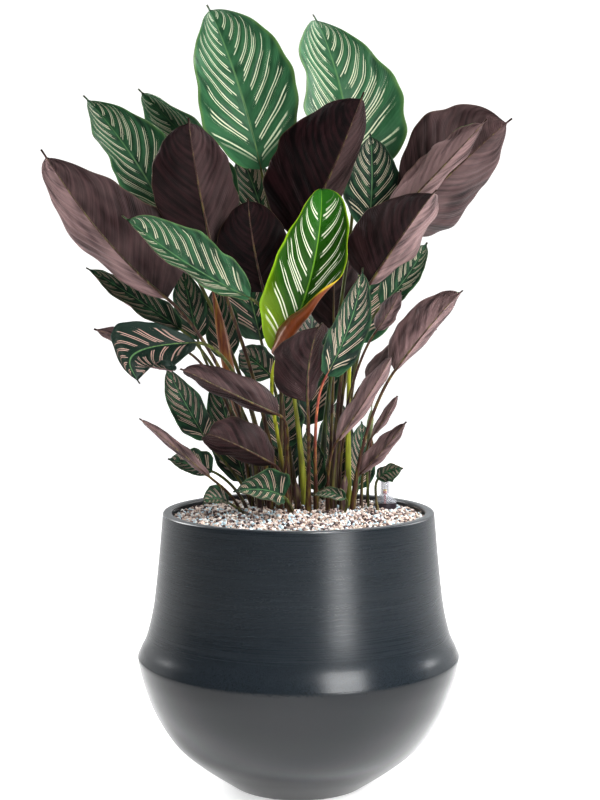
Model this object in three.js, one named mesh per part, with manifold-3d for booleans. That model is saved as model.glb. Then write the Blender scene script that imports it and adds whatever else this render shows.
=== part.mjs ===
// Potted calathea: a clump of leafy stems in a round-bellied planter, topped with gravel,
// with a float gauge for the water level standing at the right.
// Millimetres, +Z up. The origin is the centre of the planter's underside.
// The clump is seen from the front along +Y, with +X to the right.

import * as THREE from 'three';
import { mergeVertices } from 'three/addons/utils/BufferGeometryUtils.js';
import Module from 'manifold-3d';

const wasm = await Module();
wasm.setup();

// ---- driving dimensions ----

const GAP = 0.3;

const POT_HEIGHT = 340;
const POT_SIDES = 36;
const FLOOR = 12;
const FOOT_RADIUS = 86;
const BELLY_RADIUS = 200;
const BELLY_HEIGHT = 159;
const MOUTH_RADIUS = 168;
const RIM_WIDTH = 11.5;
const RIM_EDGE = 3;

const SOIL_TOP = 316;
const GRAVEL_EDGE = 331;
const GRAVEL_TOP = 341;
const GRAVEL_RELIEF = 1.6;
const GRAVEL_ROUNDS = 5;
const LEVEL_RADIUS = 64;
const CLUMP = new THREE.Vector2(15, 35);

// The two crossed ripples of the gravel's slope, in radians for each millimetre of X and Y.
const FIRST_RIPPLE = new THREE.Vector2(0.61, 0.23);
const CROSS_RIPPLE = new THREE.Vector2(-0.31, 0.57);

const GAUGE_PLACE = new THREE.Vector2(109, 33);
const SLEEVE_RADIUS = 14.5;
const SLEEVE_BORE = 12;
const SLEEVE_BOTTOM = 62;
const SLEEVE_TOP = 345;
const CAP_CONE = 10;
const CAP_WALL = 1.6;
const CAP_BAND = 2;
const CAP_PROUD = 0.5;
const NECK_RADIUS = 5.7;
const NECK_BORE = 4.3;
const NECK_TOP = 384;
const FLOAT_RADIUS = 10;
const FLOAT_BODY = 32;
const FLOAT_ROD = 1.5;
const FLOAT_TIP = 361;
const TIP_RADIUS = 2.5;
const TIP_LENGTH = 6;

// ---- leaves ----

const BLADE = 1.2;
const STALK = 5;
const STALK_FOOT = 1.15;
const STALK_NECK = 0.8;
const STALK_RISE = 0.4;
const STALK_LEAN = 0.2;
const STALK_STEPS = 5;
const ROOT_HEIGHT = SOIL_TOP + GAP;

// The blade's last twentieth is a slim drip tip, and its last fifth hooks down. Half a blade
// is given by its share of half the width, where along it the belly lies, and how full its
// outline stays towards the tip and towards the base (less is fuller).
const DRIP_TIP = 0.95;
const HALF = [1, 0.42, 0.62, 0.5];
const TAIL = 1.2;
const HOOK = 4;
const HOOK_START = 0.8;
const MARGIN_WAVE = 3;
const WAVES = 2.5;
const WAVY_WIDTH = 100;
const ACROSS = [-1, -0.5, 0, 0.5, 1];
const LONG_LEAF = 110;
const LONG_STEPS = 9;
const SHORT_STEPS = 6;

// Each leaf: the face seen from the front, where its stalk stands, then the base, the middle
// and the tip of its midrib, its width, and in degrees its turn about the midrib from facing
// the front, the fold of each half at the midrib and the further curl out to the margin.
// Where a leaf has them: its twist from base to tip in degrees, the share of its length where
// its drip tip starts, and its two halves, to the minus and the plus side of the midrib.
const LEAVES = [
  ['upper', [5, 62], [-47, 60, 763], [-78, 72, 876], [-118, 118, 980], 151, 14, 17, 23,
    { minus: [0.96, 0.38, 0.8, 0.65], plus: [0.98, 0.43, 0.64, 0.6] }],
  ['upper', [28, 78], [70, 92, 762], [54, 107, 868], [20, 150, 973], 168, 28, 17, 23,
    { minus: [1.08, 0.42, 0.65, 0.6], plus: [0.92, 0.36, 0.78, 0.5] }],
  ['upper', [-38, 48], [-167, 40, 707], [-210, 52, 781], [-273, 80, 860], 111, 23, 21, 28,
    { minus: [0.95, 0.42, 0.7, 0.55], plus: [0.92, 0.4, 0.8, 0.5] }],
  ['upper', [-12, 78], [-80, 95, 722], [-140, 118, 800], [-213, 160, 877], 92, -4, 28, 37,
    { plus: [0.85, 0.42, 0.7, 0.5] }],
  ['upper', [5, 92], [-40, 118, 683], [-55, 135, 736], [-80, 165, 797], 71, 4, 19, 25],
  ['upper', [-24, 4], [-58, -52, 603], [-134, -80, 646], [-201, -118, 699], 84, 27, 28, 37,
    { minus: [0.9, 0.5, 0.5, 0.5], plus: [1, 0.5, 0.5, 0.5] }],
  ['upper', [-12, -2], [-25, -52, 532], [14, -62, 625], [28, -58, 733], 112, -21, 22, 30,
    { twist: 60, drip: 1, minus: [0.93, 0.46, 0.5, 0.5], plus: [0.8, 0.68, 0.42, 0.45] }],
  ['upper', [45, 62], [88, 52, 690], [92, 50, 750], [90, 56, 809], 76, 4, 15, 20],
  ['upper', [22, -12], [33, -66, 511], [61, -82, 575], [75, -104, 638], 52, 11, 17, 23],
  ['upper', [60, 28], [102, 2, 593], [135, 8, 631], [159, 16, 672], 54, -9, 20, 27,
    { plus: [0.75, 0.42, 0.62, 0.5] }],
  ['upper', [-50, 38], [-147, 40, 562], [-207, 36, 604], [-264, 26, 640], 67, 8, 37, 50],
  ['upper', [-34, -2], [-120, -85, 551], [-187, -135, 541], [-177, -166, 511], 92, 10, 12, 30,
    { minus: [1.2, 0.6, 0.45, 0.4], plus: [0.85, 0.6, 0.45, 0.5] }],
  ['upper', [-54, 22], [-114, -5, 428], [-137, -18, 472], [-161, -30, 520], 54, -2, 20, 26,
    { minus: [0.9, 0.5, 0.6, 0.55] }],
  ['upper', [-10, 68], [-34, 72, 501], [-55, 80, 520], [-78, 92, 535], 51, 0, 16, 21],
  ['upper', [-60, 10], [-107, -6, 389], [-134, -10, 398], [-160, -16, 405], 44, 0, 23, 31,
    { minus: [0.55, 0.42, 0.62, 0.5], plus: [1.45, 0.42, 0.62, 0.5] }],
  ['upper', [-2, -32], [-18, -40, 362], [-44, -56, 373], [-76, -78, 374], 57, 23, 28, 38,
    { plus: [1.15, 0.42, 0.62, 0.5] }],
  ['upper', [22, 44], [25, 48, 358], [17, 50, 397], [10, 54, 437], 38, 0, 18, 24],
  ['upper', [100, 0], [99, 12, 377], [113, 5, 389], [129, 0, 391], 38, 5, 30, 40,
    { minus: [0.9, 0.55, 0.45, 0.5], plus: [0.9, 0.55, 0.45, 0.5] }],
  ['upper', [-54, -26], [-86, -32, 354], [-101, -42, 360], [-115, -54, 356], 36, 50, 20, 26],
  ['upper', [52, -26], [57, -34, 359], [36, -42, 368], [18, -52, 365], 22, 9, 29, 38],
  ['upper', [-44, 60], [-128, 62, 549], [-138, 68, 593], [-149, 78, 640], 49, 0, 16, 21],
  ['upper', [-32, 70], [-94, 75, 523], [-99, 82, 571], [-110, 92, 618], 49, 0, 16, 21],
  ['under', [-46, 6], [-160, -14, 602], [-237, -44, 681], [-300, -80, 778], 156, 162, 20, 26,
    { minus: [0.95, 0.32, 0.68, 0.42], plus: [0.66, 0.5, 0.5, 0.65] }],
  ['under', [-26, 26], [-103, -29, 656], [-119, -50, 738], [-129, -79, 815], 107, 190, 16, 22,
    { plus: [1.1, 0.5, 0.55, 0.5] }],
  ['under', [8, 32], [-3, 0, 674], [42, -24, 759], [76, -70, 846], 156, 203, 22, 30,
    { minus: [0.6, 0.42, 0.62, 0.5] }],
  ['under', [-12, 20], [-42, -18, 610], [-54, -40, 667], [-60, -72, 723], 94, 187, 12, 16],
  ['under', [62, 50], [123, 20, 693], [187, 10, 755], [258, -10, 821], 169, 201, 21, 28,
    { minus: [1.08, 0.38, 0.72, 0.45], plus: [0.88, 0.6, 0.42, 0.65] }],
  ['under', [62, 8], [105, -20, 691], [166, -46, 753], [221, -72, 813], 88, 180, 35, 45,
    { minus: [0.65, 0.42, 0.62, 0.5] }],
  ['under', [42, -4], [84, -50, 619], [120, -78, 674], [158, -125, 730], 136, 203, 25, 34,
    { minus: [0.88, 0.42, 0.62, 0.5], plus: [0.85, 0.36, 0.8, 0.5] }],
  ['under', [66, -8], [116, -45, 516], [154, -68, 568], [191, -105, 615], 69, 201, 31, 41],
  ['under', [50, 20], [83, -14, 503], [123, -15, 536], [168, -22, 566], 44, 191, 36, 47],
  ['under', [12, -22], [11, -85, 481], [13, -108, 532], [25, -150, 578], 91, 208, 25, 33,
    { plus: [1, 0.4, 1, 0.5] }],
  ['under', [-24, -12], [-24, -60, 464], [-83, -98, 495], [-136, -145, 526], 64, 161, 28, 37,
    { minus: [0.85, 0.35, 0.5, 0.42], plus: [0.9, 0.45, 0.6, 0.5] }],
  ['under', [-10, -30], [-30, -42, 402], [-72, -78, 429], [-109, -130, 450], 69, 170, 23, 30,
    { minus: [1, 0.45, 0.6, 0.45], plus: [0.95, 0.5, 0.5, 0.5] }],
  ['under', [-68, -10], [-106, -58, 388], [-148, -80, 428], [-186, -115, 466], 33, 180, 41, 55],
  ['under', [36, -18], [46, -45, 430], [81, -72, 485], [110, -110, 540], 54, 182, 39, 52],
  ['under', [68, 22], [76, -4, 386], [105, -21, 419], [131, -45, 456], 40, 184, 33, 45,
    { minus: [1, 0.36, 0.7, 0.5], plus: [1, 0.36, 0.7, 0.5] }],
  ['under', [-58, 44], [-154, 12, 542], [-203, 2, 551], [-251, -6, 565], 40, 180, 25, 33],
  ['under', [78, 14], [93, 8, 433], [110, 2, 459], [122, -12, 485], 18, 184, 30, 39],
  ['upper', [0, 44], [-23, 42, 412], [-20, 52, 449], [-17, 66, 486], 60, 0, 14, 19],
  ['under', [44, 4], [94, -38, 564], [109, -44, 587], [123, -50, 613], 34, 180, 27, 36],
  ['under', [40, 72], [46, 112, 560], [46, 114, 628], [48, 122, 690], 80, 180, 16, 22],
  ['upper', [12, 92], [12, 165, 430], [16, 198, 522], [20, 262, 585], 92, 0, 14, 16],
  ['upper', [34, 88], [75, 150, 540], [100, 177, 632], [125, 232, 700], 96, 0, 14, 16],
  ['upper', [-4, 90], [-50, 150, 545], [-74, 177, 634], [-98, 232, 700], 96, 0, 14, 16],
  ['upper', [26, 94], [40, 118, 352], [48, 130, 408], [54, 152, 470], 58, 5, 14, 16],
  ['upper', [-6, 98], [-20, 120, 352], [-26, 132, 408], [-30, 154, 470], 62, -5, 14, 16],
  ['upper', [60, 82], [77, 100, 352], [81, 112, 395], [84, 132, 440], 44, 8, 14, 16],
  ['upper', [-30, 84], [-70, 100, 362], [-90, 112, 430], [-112, 128, 502], 62, -8, 14, 16],
];

// Leaves still rolled up, and sheaths at the foot of the clump: where each stands, a point
// that its stem passes, its tip, the radius of its stem and its widest radius.
const SPEARS = [
  ['spear_tall', [-38, 22], [-76, 15, 463], [-114, 15, 650], 2.8, 8],
  ['spear_slim', [86, 42], [90, 37, 400], [92, 34, 472], 1.8, 3],
  ['spear_pale', [88, 22], [88, 22, 430], [92, 22, 472], 1.6, 4.5],
  ['sheath_front', [2, -8], [-1, -10, 350], [-4, -14, 384], 4.5, 5.5],
  ['sheath_right', [54, -14], [55, -14, 360], [58, -14, 392], 4, 5],
];

// ---- finishes ----

function finish(color, roughness, metalness = 0) {
  return new THREE.MeshStandardMaterial({ color, roughness, metalness });
}

const LEAF_UPPER = finish(0x1f4a33, 0.45);
const LEAF_UNDER = finish(0x4a2733, 0.5);
const SPEAR = finish(0x6a3a2c, 0.5);
const POT_FINISH = finish(0x3c464c, 0.45);
const SOIL_FINISH = finish(0x33271f, 0.95);
const GRAVEL_FINISH = finish(0xcfc5b4, 0.9);
const SLEEVE_FINISH = finish(0x2a1d24, 0.5);
const CLEAR_FINISH = finish(0xdfe6e8, 0.15);
const FLOAT_FINISH = finish(0xd8402c, 0.5);

// ---- closed shapes ----

// Geometry with shared vertices and no triangle that has lost its area.
function closedGeometry(positions, indices) {
  let geometry = new THREE.BufferGeometry();
  geometry.setAttribute('position', new THREE.Float32BufferAttribute(positions, 3));
  geometry.setIndex(Array.from(indices));
  geometry = mergeVertices(geometry, 1e-3);
  const kept = [];
  const index = geometry.getIndex().array;
  for (let i = 0; i < index.length; i += 3) {
    const [a, b, c] = index.slice(i, i + 3);
    if (a !== b && b !== c && c !== a) {
      kept.push(a, b, c);
    }
  }
  geometry.setIndex(kept);
  return geometry;
}

// Turns a profile of [radius, height] about the Z axis.
function turned(profile, sides) {
  const points = profile.map(([radius, height]) => new THREE.Vector2(radius, height));
  const lathe = new THREE.LatheGeometry(points, sides);
  lathe.rotateX(Math.PI / 2);
  return closedGeometry(lathe.getAttribute('position').array, lathe.getIndex().array);
}

function toSolid(geometry) {
  const mesh = new wasm.Mesh({
    numProp: 3,
    vertProperties: new Float32Array(geometry.getAttribute('position').array),
    triVerts: new Uint32Array(geometry.getIndex().array),
  });
  return new wasm.Manifold(mesh);
}

function toGeometry(solid) {
  const mesh = solid.getMesh();
  return closedGeometry(mesh.vertProperties, mesh.triVerts);
}

// Skins rings of points into one closed body. The first half of a ring runs along one face
// and the second half back along the other, and both faces are split on the same diagonals.
function skin(rings) {
  const size = rings[0].length;
  const half = size / 2;
  const positions = rings.flat().flatMap((point) => point.toArray());
  const indices = [];
  for (let ring = 0; ring < rings.length - 1; ring += 1) {
    for (let i = 0; i < size; i += 1) {
      const a = ring * size + i;
      const b = ring * size + ((i + 1) % size);
      const c = a + size;
      const d = b + size;
      if (i >= half && i < size - 1) {
        indices.push(a, b, c, b, d, c);
      } else {
        indices.push(a, b, d, a, d, c);
      }
    }
  }
  const last = (rings.length - 1) * size;
  for (let i = 0; i < half - 1; i += 1) {
    const [a, b, c, d] = [i, i + 1, size - 1 - i, size - 2 - i];
    indices.push(a, c, b, b, c, d);
    indices.push(last + a, last + b, last + c, last + b, last + d, last + c);
  }
  return closedGeometry(positions, indices);
}

// ---- leaf form ----

const radians = THREE.MathUtils.degToRad;

// A stalk is six-sided. Its side corners count twice, to match the points of a blade's ring.
const STALK_CORNERS = [150, 150, 90, 30, 30, -30, -30, -90, -150, -150].map(radians);

// The plain hole that a stalk stands in is four-sided, just clear of the stalk.
const HOLE_CORNERS = [135, 45, -45, -135].map(radians);
const holeRadius = (radius) => (radius + GAP + 0.2) * Math.SQRT2;

function makeLeaf([seen, root, base, middle, tip, width, turn, fold, curl, extra = {}]) {
  const start = new THREE.Vector3(...base);
  const end = new THREE.Vector3(...tip);
  const control = new THREE.Vector3(...middle).multiplyScalar(2);
  control.addScaledVector(start, -0.5).addScaledVector(end, -0.5);
  const chord = end.clone().sub(start).normalize();
  const facing = new THREE.Vector3(0, -1, 0);
  facing.addScaledVector(chord, -facing.dot(chord)).normalize();
  facing.applyAxisAngle(chord, radians(turn));
  return {
    seen,
    root: new THREE.Vector3(root[0], root[1], ROOT_HEIGHT),
    midrib: new THREE.QuadraticBezierCurve3(start, control, end),
    chord,
    facing,
    halfWidth: width / 2,
    fold: radians(fold),
    curl: radians(curl),
    twist: radians(extra.twist ?? 0),
    drip: extra.drip ?? DRIP_TIP,
    minus: extra.minus ?? HALF,
    plus: extra.plus ?? HALF,
    wave: MARGIN_WAVE * Math.min(1, width / WAVY_WIDTH),
  };
}

// The midrib's point, direction, upper side and rightward side at a share of its length.
function leafFrame(leaf, share) {
  const point = leaf.midrib.getPoint(share);
  const along = leaf.midrib.getTangent(share);
  const bend = new THREE.Quaternion().setFromUnitVectors(leaf.chord, along);
  const up = leaf.facing.clone().applyQuaternion(bend);
  up.addScaledVector(along, -up.dot(along)).normalize();
  up.applyAxisAngle(along, leaf.twist * (share - 0.5));
  const side = new THREE.Vector3().crossVectors(along, up);
  if (share > HOOK_START) {
    point.addScaledVector(up, -HOOK * ((share - HOOK_START) / (1 - HOOK_START)) ** 2);
  }
  return { point, along, up, side };
}

// How far half the blade reaches: most at its belly, and least at the stalk and the drip tip.
function reachOf(leaf, half, share) {
  const [wide, belly, full, heel] = half;
  const least = share > 0.5 ? TAIL : STALK * 0.3;
  const blade = Math.min(share / leaf.drip, 1);
  const swell = Math.sin(Math.PI * blade ** (Math.log(0.5) / Math.log(belly)));
  const outline = Math.max(swell, 0) ** (blade < belly ? heel : full);
  return Math.max(leaf.halfWidth * wide * outline, least);
}

// A point on the blade's middle surface, with the surface's own upward direction.
function bladePoint(leaf, share, across) {
  const { point, up, side } = leafFrame(leaf, share);
  const hand = Math.sign(across);
  const reach = reachOf(leaf, hand < 0 ? leaf.minus : leaf.plus, share);
  const out = Math.abs(across);
  const slope = leaf.fold + leaf.curl * out;
  const sideways = (reach / leaf.curl) * (Math.sin(slope) - Math.sin(leaf.fold));
  const upward = (reach / leaf.curl) * (Math.cos(leaf.fold) - Math.cos(slope));
  const normal = up.clone();
  if (hand !== 0) {
    normal.multiplyScalar(Math.cos(slope)).addScaledVector(side, -hand * Math.sin(slope));
  }
  const phase = hand > 0 ? 0.37 : 0;
  const wave = Math.sin(2 * Math.PI * (WAVES * share + phase));
  const lift = leaf.wave * out ** 1.5 * wave * (reach / leaf.halfWidth);
  point.addScaledVector(side, hand * sideways).addScaledVector(up, upward);
  point.addScaledVector(normal, lift);
  return { point, normal };
}

function bladeRing(leaf, share) {
  const thickness = share < 0.9 ? BLADE : BLADE * 0.8;
  const upper = [];
  const lower = [];
  for (const across of ACROSS) {
    const { point, normal } = bladePoint(leaf, share, across);
    upper.push(point.clone().addScaledVector(normal, thickness / 2));
    lower.unshift(point.clone().addScaledVector(normal, -thickness / 2));
  }
  return [...upper, ...lower];
}

// Stalk sections from the root up to the blade, with corners at the given angles.
function stalkRings(leaf, angles, widen) {
  const { point: top, along, up } = leafFrame(leaf, 0);
  const length = top.distanceTo(leaf.root);
  const lowHandle = leaf.root.clone().add(new THREE.Vector3(0, 0, STALK_RISE * length));
  const highHandle = top.clone().addScaledVector(along, -STALK_LEAN * length);
  const path = new THREE.CubicBezierCurve3(leaf.root, lowHandle, highHandle, top);
  const rings = [];
  const normal = up.clone();
  for (let step = STALK_STEPS - 1; step >= 0; step -= 1) {
    const share = step / STALK_STEPS;
    const centre = path.getPoint(share);
    const direction = path.getTangent(share);
    normal.addScaledVector(direction, -normal.dot(direction)).normalize();
    const side = new THREE.Vector3().crossVectors(direction, normal);
    const radius = widen((STALK / 2) * THREE.MathUtils.lerp(STALK_FOOT, STALK_NECK, share));
    const ring = angles.map((angle) => centre.clone()
      .addScaledVector(side, radius * Math.cos(angle))
      .addScaledVector(normal, radius * Math.sin(angle)));
    rings.unshift(ring);
  }
  return rings;
}

function leafGeometry(leaf) {
  const steps = leaf.midrib.getLength() > LONG_LEAF ? LONG_STEPS : SHORT_STEPS;
  const rings = stalkRings(leaf, STALK_CORNERS, (radius) => radius);
  for (let step = 0; step <= steps; step += 1) {
    // The steps lie closest at the two ends, where the outline turns most.
    const swing = Math.cos((Math.PI * step) / steps);
    rings.push(bladeRing(leaf, (1 - swing * (0.75 + 0.25 * swing * swing)) / 2));
  }
  return skin(rings);
}

// ---- rolled leaves and sheaths ----

const SPEAR_CORNERS = [150, 90, 30, -30, -90, -150].map(radians);
const SPEAR_STEPS = 9;
const SPEAR_RISE = 0.45;
const SPEAR_LEAN = 0.4;
const SPEAR_SHOULDER = 0.18;
const SPEAR_POINT = 0.6;

function spearRings([, root, pass, tip, stemRadius, widest], angles, widen) {
  const foot = new THREE.Vector3(root[0], root[1], ROOT_HEIGHT);
  const neck = new THREE.Vector3(...pass);
  const end = new THREE.Vector3(...tip);
  const rise = neck.distanceTo(foot);
  const handle = foot.clone().add(new THREE.Vector3(0, 0, SPEAR_RISE * rise));
  const lean = end.clone().sub(neck).normalize();
  const below = neck.clone().addScaledVector(lean, -SPEAR_LEAN * rise);
  const stem = new THREE.CubicBezierCurve3(foot, handle, below, neck);
  const rings = [];
  for (let step = 0; step <= SPEAR_STEPS; step += 1) {
    const share = (2 * step) / SPEAR_STEPS;
    const onStem = share < 1;
    const blade = Math.max(share - 1, 0);
    const centre = onStem ? stem.getPoint(share) : neck.clone().lerp(end, blade);
    const direction = onStem ? stem.getTangent(share) : lean.clone();
    const swell = Math.sin(Math.PI * Math.min(blade + SPEAR_SHOULDER, 1)) ** 0.8;
    const radius = onStem ? stemRadius : Math.max(widest * swell, SPEAR_POINT);
    const side = new THREE.Vector3(1, 0, 0);
    side.addScaledVector(direction, -side.dot(direction)).normalize();
    const front = new THREE.Vector3().crossVectors(side, direction);
    rings.push(angles.map((angle) => centre.clone()
      .addScaledVector(side, widen(radius) * Math.cos(angle))
      .addScaledVector(front, widen(radius) * Math.sin(angle))));
  }
  return rings;
}

// ---- planter ----

const OUTER_BOWL = [
  [FOOT_RADIUS, 0], [127, 29], [158, 57], [181.5, 96], [195, 135], [BELLY_RADIUS, BELLY_HEIGHT],
];
const OUTER_SHOULDER = [
  [BELLY_RADIUS, BELLY_HEIGHT + 2], [196, 170], [188, 188], [180, 223], [173.5, 277],
  [MOUTH_RADIUS, POT_HEIGHT - RIM_EDGE],
];
const INNER_WALL = [
  [96, FLOOR], [122, 34], [150, 61], [173, 98], [187, 137], [189, 160], [178, 190],
  [170.5, 223], [164, 277], [MOUTH_RADIUS - RIM_WIDTH, POT_HEIGHT - RIM_EDGE],
];

// A smooth line through [radius, height] points.
function smooth(points, steps) {
  const curve = new THREE.SplineCurve(points.map(([r, z]) => new THREE.Vector2(r, z)));
  return curve.getPoints(steps).map((point) => [point.x, point.y]);
}

const innerWall = smooth(INNER_WALL, 7);

function wallRadius(height) {
  const above = innerWall.findIndex(([, z]) => z > height);
  const [r0, z0] = innerWall[above - 1];
  const [r1, z1] = innerWall[above];
  return r0 + ((r1 - r0) * (height - z0)) / (z1 - z0);
}

function potGeometry() {
  const rim = [
    [MOUTH_RADIUS - RIM_EDGE, POT_HEIGHT],
    [MOUTH_RADIUS - RIM_WIDTH + RIM_EDGE * 0.5, POT_HEIGHT],
  ];
  const outside = [...smooth(OUTER_BOWL, 6), ...smooth(OUTER_SHOULDER, 5)];
  const profile = [[0, 0], ...outside, ...rim, ...innerWall.toReversed(), [0, FLOOR]];
  return turned(profile, POT_SIDES);
}

// ---- filling ----

function gaugeBore(radius) {
  const [low, high] = [SLEEVE_BOTTOM - GAP, NECK_TOP];
  const bore = turned([[0, low], [radius, low], [radius, high], [0, high]], 16);
  return toSolid(bore).translate(GAUGE_PLACE.x, GAUGE_PLACE.y, 0);
}

function soilGeometry() {
  const side = innerWall.filter(([, z]) => z < SOIL_TOP).map(([r, z]) => [r - GAP, z + GAP]);
  const top = [wallRadius(SOIL_TOP) - GAP, SOIL_TOP];
  const profile = [[0, FLOOR + GAP], ...side, top, [0, SOIL_TOP]];
  const soil = toSolid(turned(profile, POT_SIDES));
  return toGeometry(soil.subtract(gaugeBore(SLEEVE_RADIUS + GAP)));
}

// The gravel: level under the clump, then sloping down to the wall with crossed ripples.
function gravelBody() {
  const centre = [CLUMP.x, CLUMP.y];
  const positions = [...centre, GRAVEL_TOP, ...centre, SOIL_TOP + GAP];
  const indices = [];
  const last = GRAVEL_ROUNDS + 1;
  const at = (round, side) => 2 + round * POT_SIDES + (side % POT_SIDES);
  for (let round = 0; round <= last; round += 1) {
    const isTop = round < last;
    const slope = Math.min(round / GRAVEL_ROUNDS, 1);
    const edge = wallRadius(isTop ? GRAVEL_EDGE : SOIL_TOP) - GAP;
    for (let side = 0; side < POT_SIDES; side += 1) {
      const angle = (2 * Math.PI * side) / POT_SIDES;
      const level = new THREE.Vector2(Math.sin(angle), Math.cos(angle));
      const wall = level.clone().multiplyScalar(edge);
      const spot = level.multiplyScalar(LEVEL_RADIUS).add(CLUMP).lerp(wall, slope);
      const ripple = Math.sin(FIRST_RIPPLE.dot(spot)) * Math.sin(CROSS_RIPPLE.dot(spot));
      const relief = GRAVEL_RELIEF * ripple * Math.sin(Math.PI * slope);
      const top = THREE.MathUtils.lerp(GRAVEL_TOP, GRAVEL_EDGE, slope) + relief;
      positions.push(spot.x, spot.y, isTop ? top : SOIL_TOP + GAP);
    }
  }
  for (let side = 0; side < POT_SIDES; side += 1) {
    indices.push(0, at(0, side + 1), at(0, side));
    indices.push(1, at(last, side), at(last, side + 1));
    for (let round = 0; round < last; round += 1) {
      const [a, b] = [at(round, side), at(round, side + 1)];
      const [c, d] = [at(round + 1, side), at(round + 1, side + 1)];
      indices.push(a, b, c, b, d, c);
    }
  }
  return toSolid(closedGeometry(positions, indices));
}

// The hole that a stalk stands in, from below the gravel to above it.
function stemHole(rings) {
  const clearOfGravel = GRAVEL_TOP + 5;
  const past = rings.findIndex((ring) => ring.every((point) => point.z > clearOfGravel));
  const foot = rings[0].map((point) => point.clone().setZ(SOIL_TOP - 1));
  const above = past < 0 ? rings.length : past + 1;
  return toSolid(skin([foot, ...rings.slice(0, above)]));
}

function gravelGeometry(leaves) {
  let gravel = gravelBody().subtract(gaugeBore(SLEEVE_RADIUS + GAP));
  for (const leaf of leaves) {
    gravel = gravel.subtract(stemHole(stalkRings(leaf, HOLE_CORNERS, holeRadius)));
  }
  for (const spear of SPEARS) {
    gravel = gravel.subtract(stemHole(spearRings(spear, HOLE_CORNERS, holeRadius)));
  }
  return toGeometry(gravel);
}

// ---- water gauge ----

function sleeveGeometry() {
  return turned([
    [SLEEVE_BORE, SLEEVE_BOTTOM], [SLEEVE_RADIUS, SLEEVE_BOTTOM], [SLEEVE_RADIUS, SLEEVE_TOP],
    [SLEEVE_BORE, SLEEVE_TOP], [SLEEVE_BORE, SLEEVE_BOTTOM],
  ], 16);
}

function capGeometry() {
  const bottom = SLEEVE_TOP + GAP;
  const shoulder = bottom + CAP_CONE;
  const outer = SLEEVE_RADIUS + CAP_PROUD;
  const inner = SLEEVE_RADIUS - CAP_WALL;
  return turned([
    [inner, bottom], [outer, bottom], [outer, bottom + CAP_BAND], [NECK_RADIUS, shoulder],
    [NECK_RADIUS, NECK_TOP - CAP_WALL], [NECK_BORE, NECK_TOP], [0, NECK_TOP],
    [0, NECK_TOP - CAP_WALL], [NECK_BORE, NECK_TOP - CAP_WALL],
    [NECK_BORE, shoulder - CAP_WALL / 2], [inner, bottom + CAP_BAND / 2], [inner, bottom],
  ], 16);
}

function floatGeometry() {
  const bottom = SLEEVE_BOTTOM + GAP;
  const bodyTop = bottom + FLOAT_BODY;
  return turned([
    [0, bottom], [FLOAT_RADIUS, bottom], [FLOAT_RADIUS, bodyTop - 6], [FLOAT_ROD, bodyTop],
    [FLOAT_ROD, FLOAT_TIP - TIP_LENGTH], [TIP_RADIUS, FLOAT_TIP - TIP_LENGTH + 0.5],
    [TIP_RADIUS, FLOAT_TIP], [0, FLOAT_TIP],
  ], 12);
}

// ---- assembly ----

const part = new THREE.Group();

function add(name, geometry, material, place = new THREE.Vector2()) {
  const mesh = new THREE.Mesh(geometry, material);
  mesh.name = name;
  mesh.position.set(place.x, place.y, 0);
  part.add(mesh);
}

const leaves = LEAVES.map(makeLeaf);

add('pot', potGeometry(), POT_FINISH);
add('soil', soilGeometry(), SOIL_FINISH);
add('gravel', gravelGeometry(leaves), GRAVEL_FINISH);
add('gauge_sleeve', sleeveGeometry(), SLEEVE_FINISH, GAUGE_PLACE);
add('gauge_cap', capGeometry(), CLEAR_FINISH, GAUGE_PLACE);
add('gauge_float', floatGeometry(), FLOAT_FINISH, GAUGE_PLACE);
leaves.forEach((leaf, index) => {
  const name = `leaf_${String(index + 1).padStart(2, '0')}`;
  add(name, leafGeometry(leaf), leaf.seen === 'upper' ? LEAF_UPPER : LEAF_UNDER);
});
for (const spear of SPEARS) {
  add(spear[0], skin(spearRings(spear, SPEAR_CORNERS, (radius) => radius)), SPEAR);
}

export default part;
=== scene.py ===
import math
import random
from itertools import combinations

import bpy
import numpy as np
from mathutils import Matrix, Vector


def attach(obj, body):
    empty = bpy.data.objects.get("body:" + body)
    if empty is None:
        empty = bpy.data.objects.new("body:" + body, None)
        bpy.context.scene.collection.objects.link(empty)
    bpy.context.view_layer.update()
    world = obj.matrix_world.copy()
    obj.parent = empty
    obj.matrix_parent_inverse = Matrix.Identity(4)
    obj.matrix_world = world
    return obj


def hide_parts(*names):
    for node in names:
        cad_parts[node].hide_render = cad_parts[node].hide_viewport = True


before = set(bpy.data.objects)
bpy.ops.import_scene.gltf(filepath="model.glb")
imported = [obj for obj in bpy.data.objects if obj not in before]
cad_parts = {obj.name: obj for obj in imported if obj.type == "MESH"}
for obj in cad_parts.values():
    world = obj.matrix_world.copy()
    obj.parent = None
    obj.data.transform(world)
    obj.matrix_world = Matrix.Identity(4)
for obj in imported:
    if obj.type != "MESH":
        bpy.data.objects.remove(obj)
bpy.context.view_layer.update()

# The potted calathea's finer leaves, planter, gravel and gauge. Shapes are worked out in
# millimetres, in the frame's own axes, and turned into metres when a mesh is made.

MM = 0.001
BODY = "planter"
TURN = 2 * math.pi

# ---- dimensions shared with the solids ----

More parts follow.
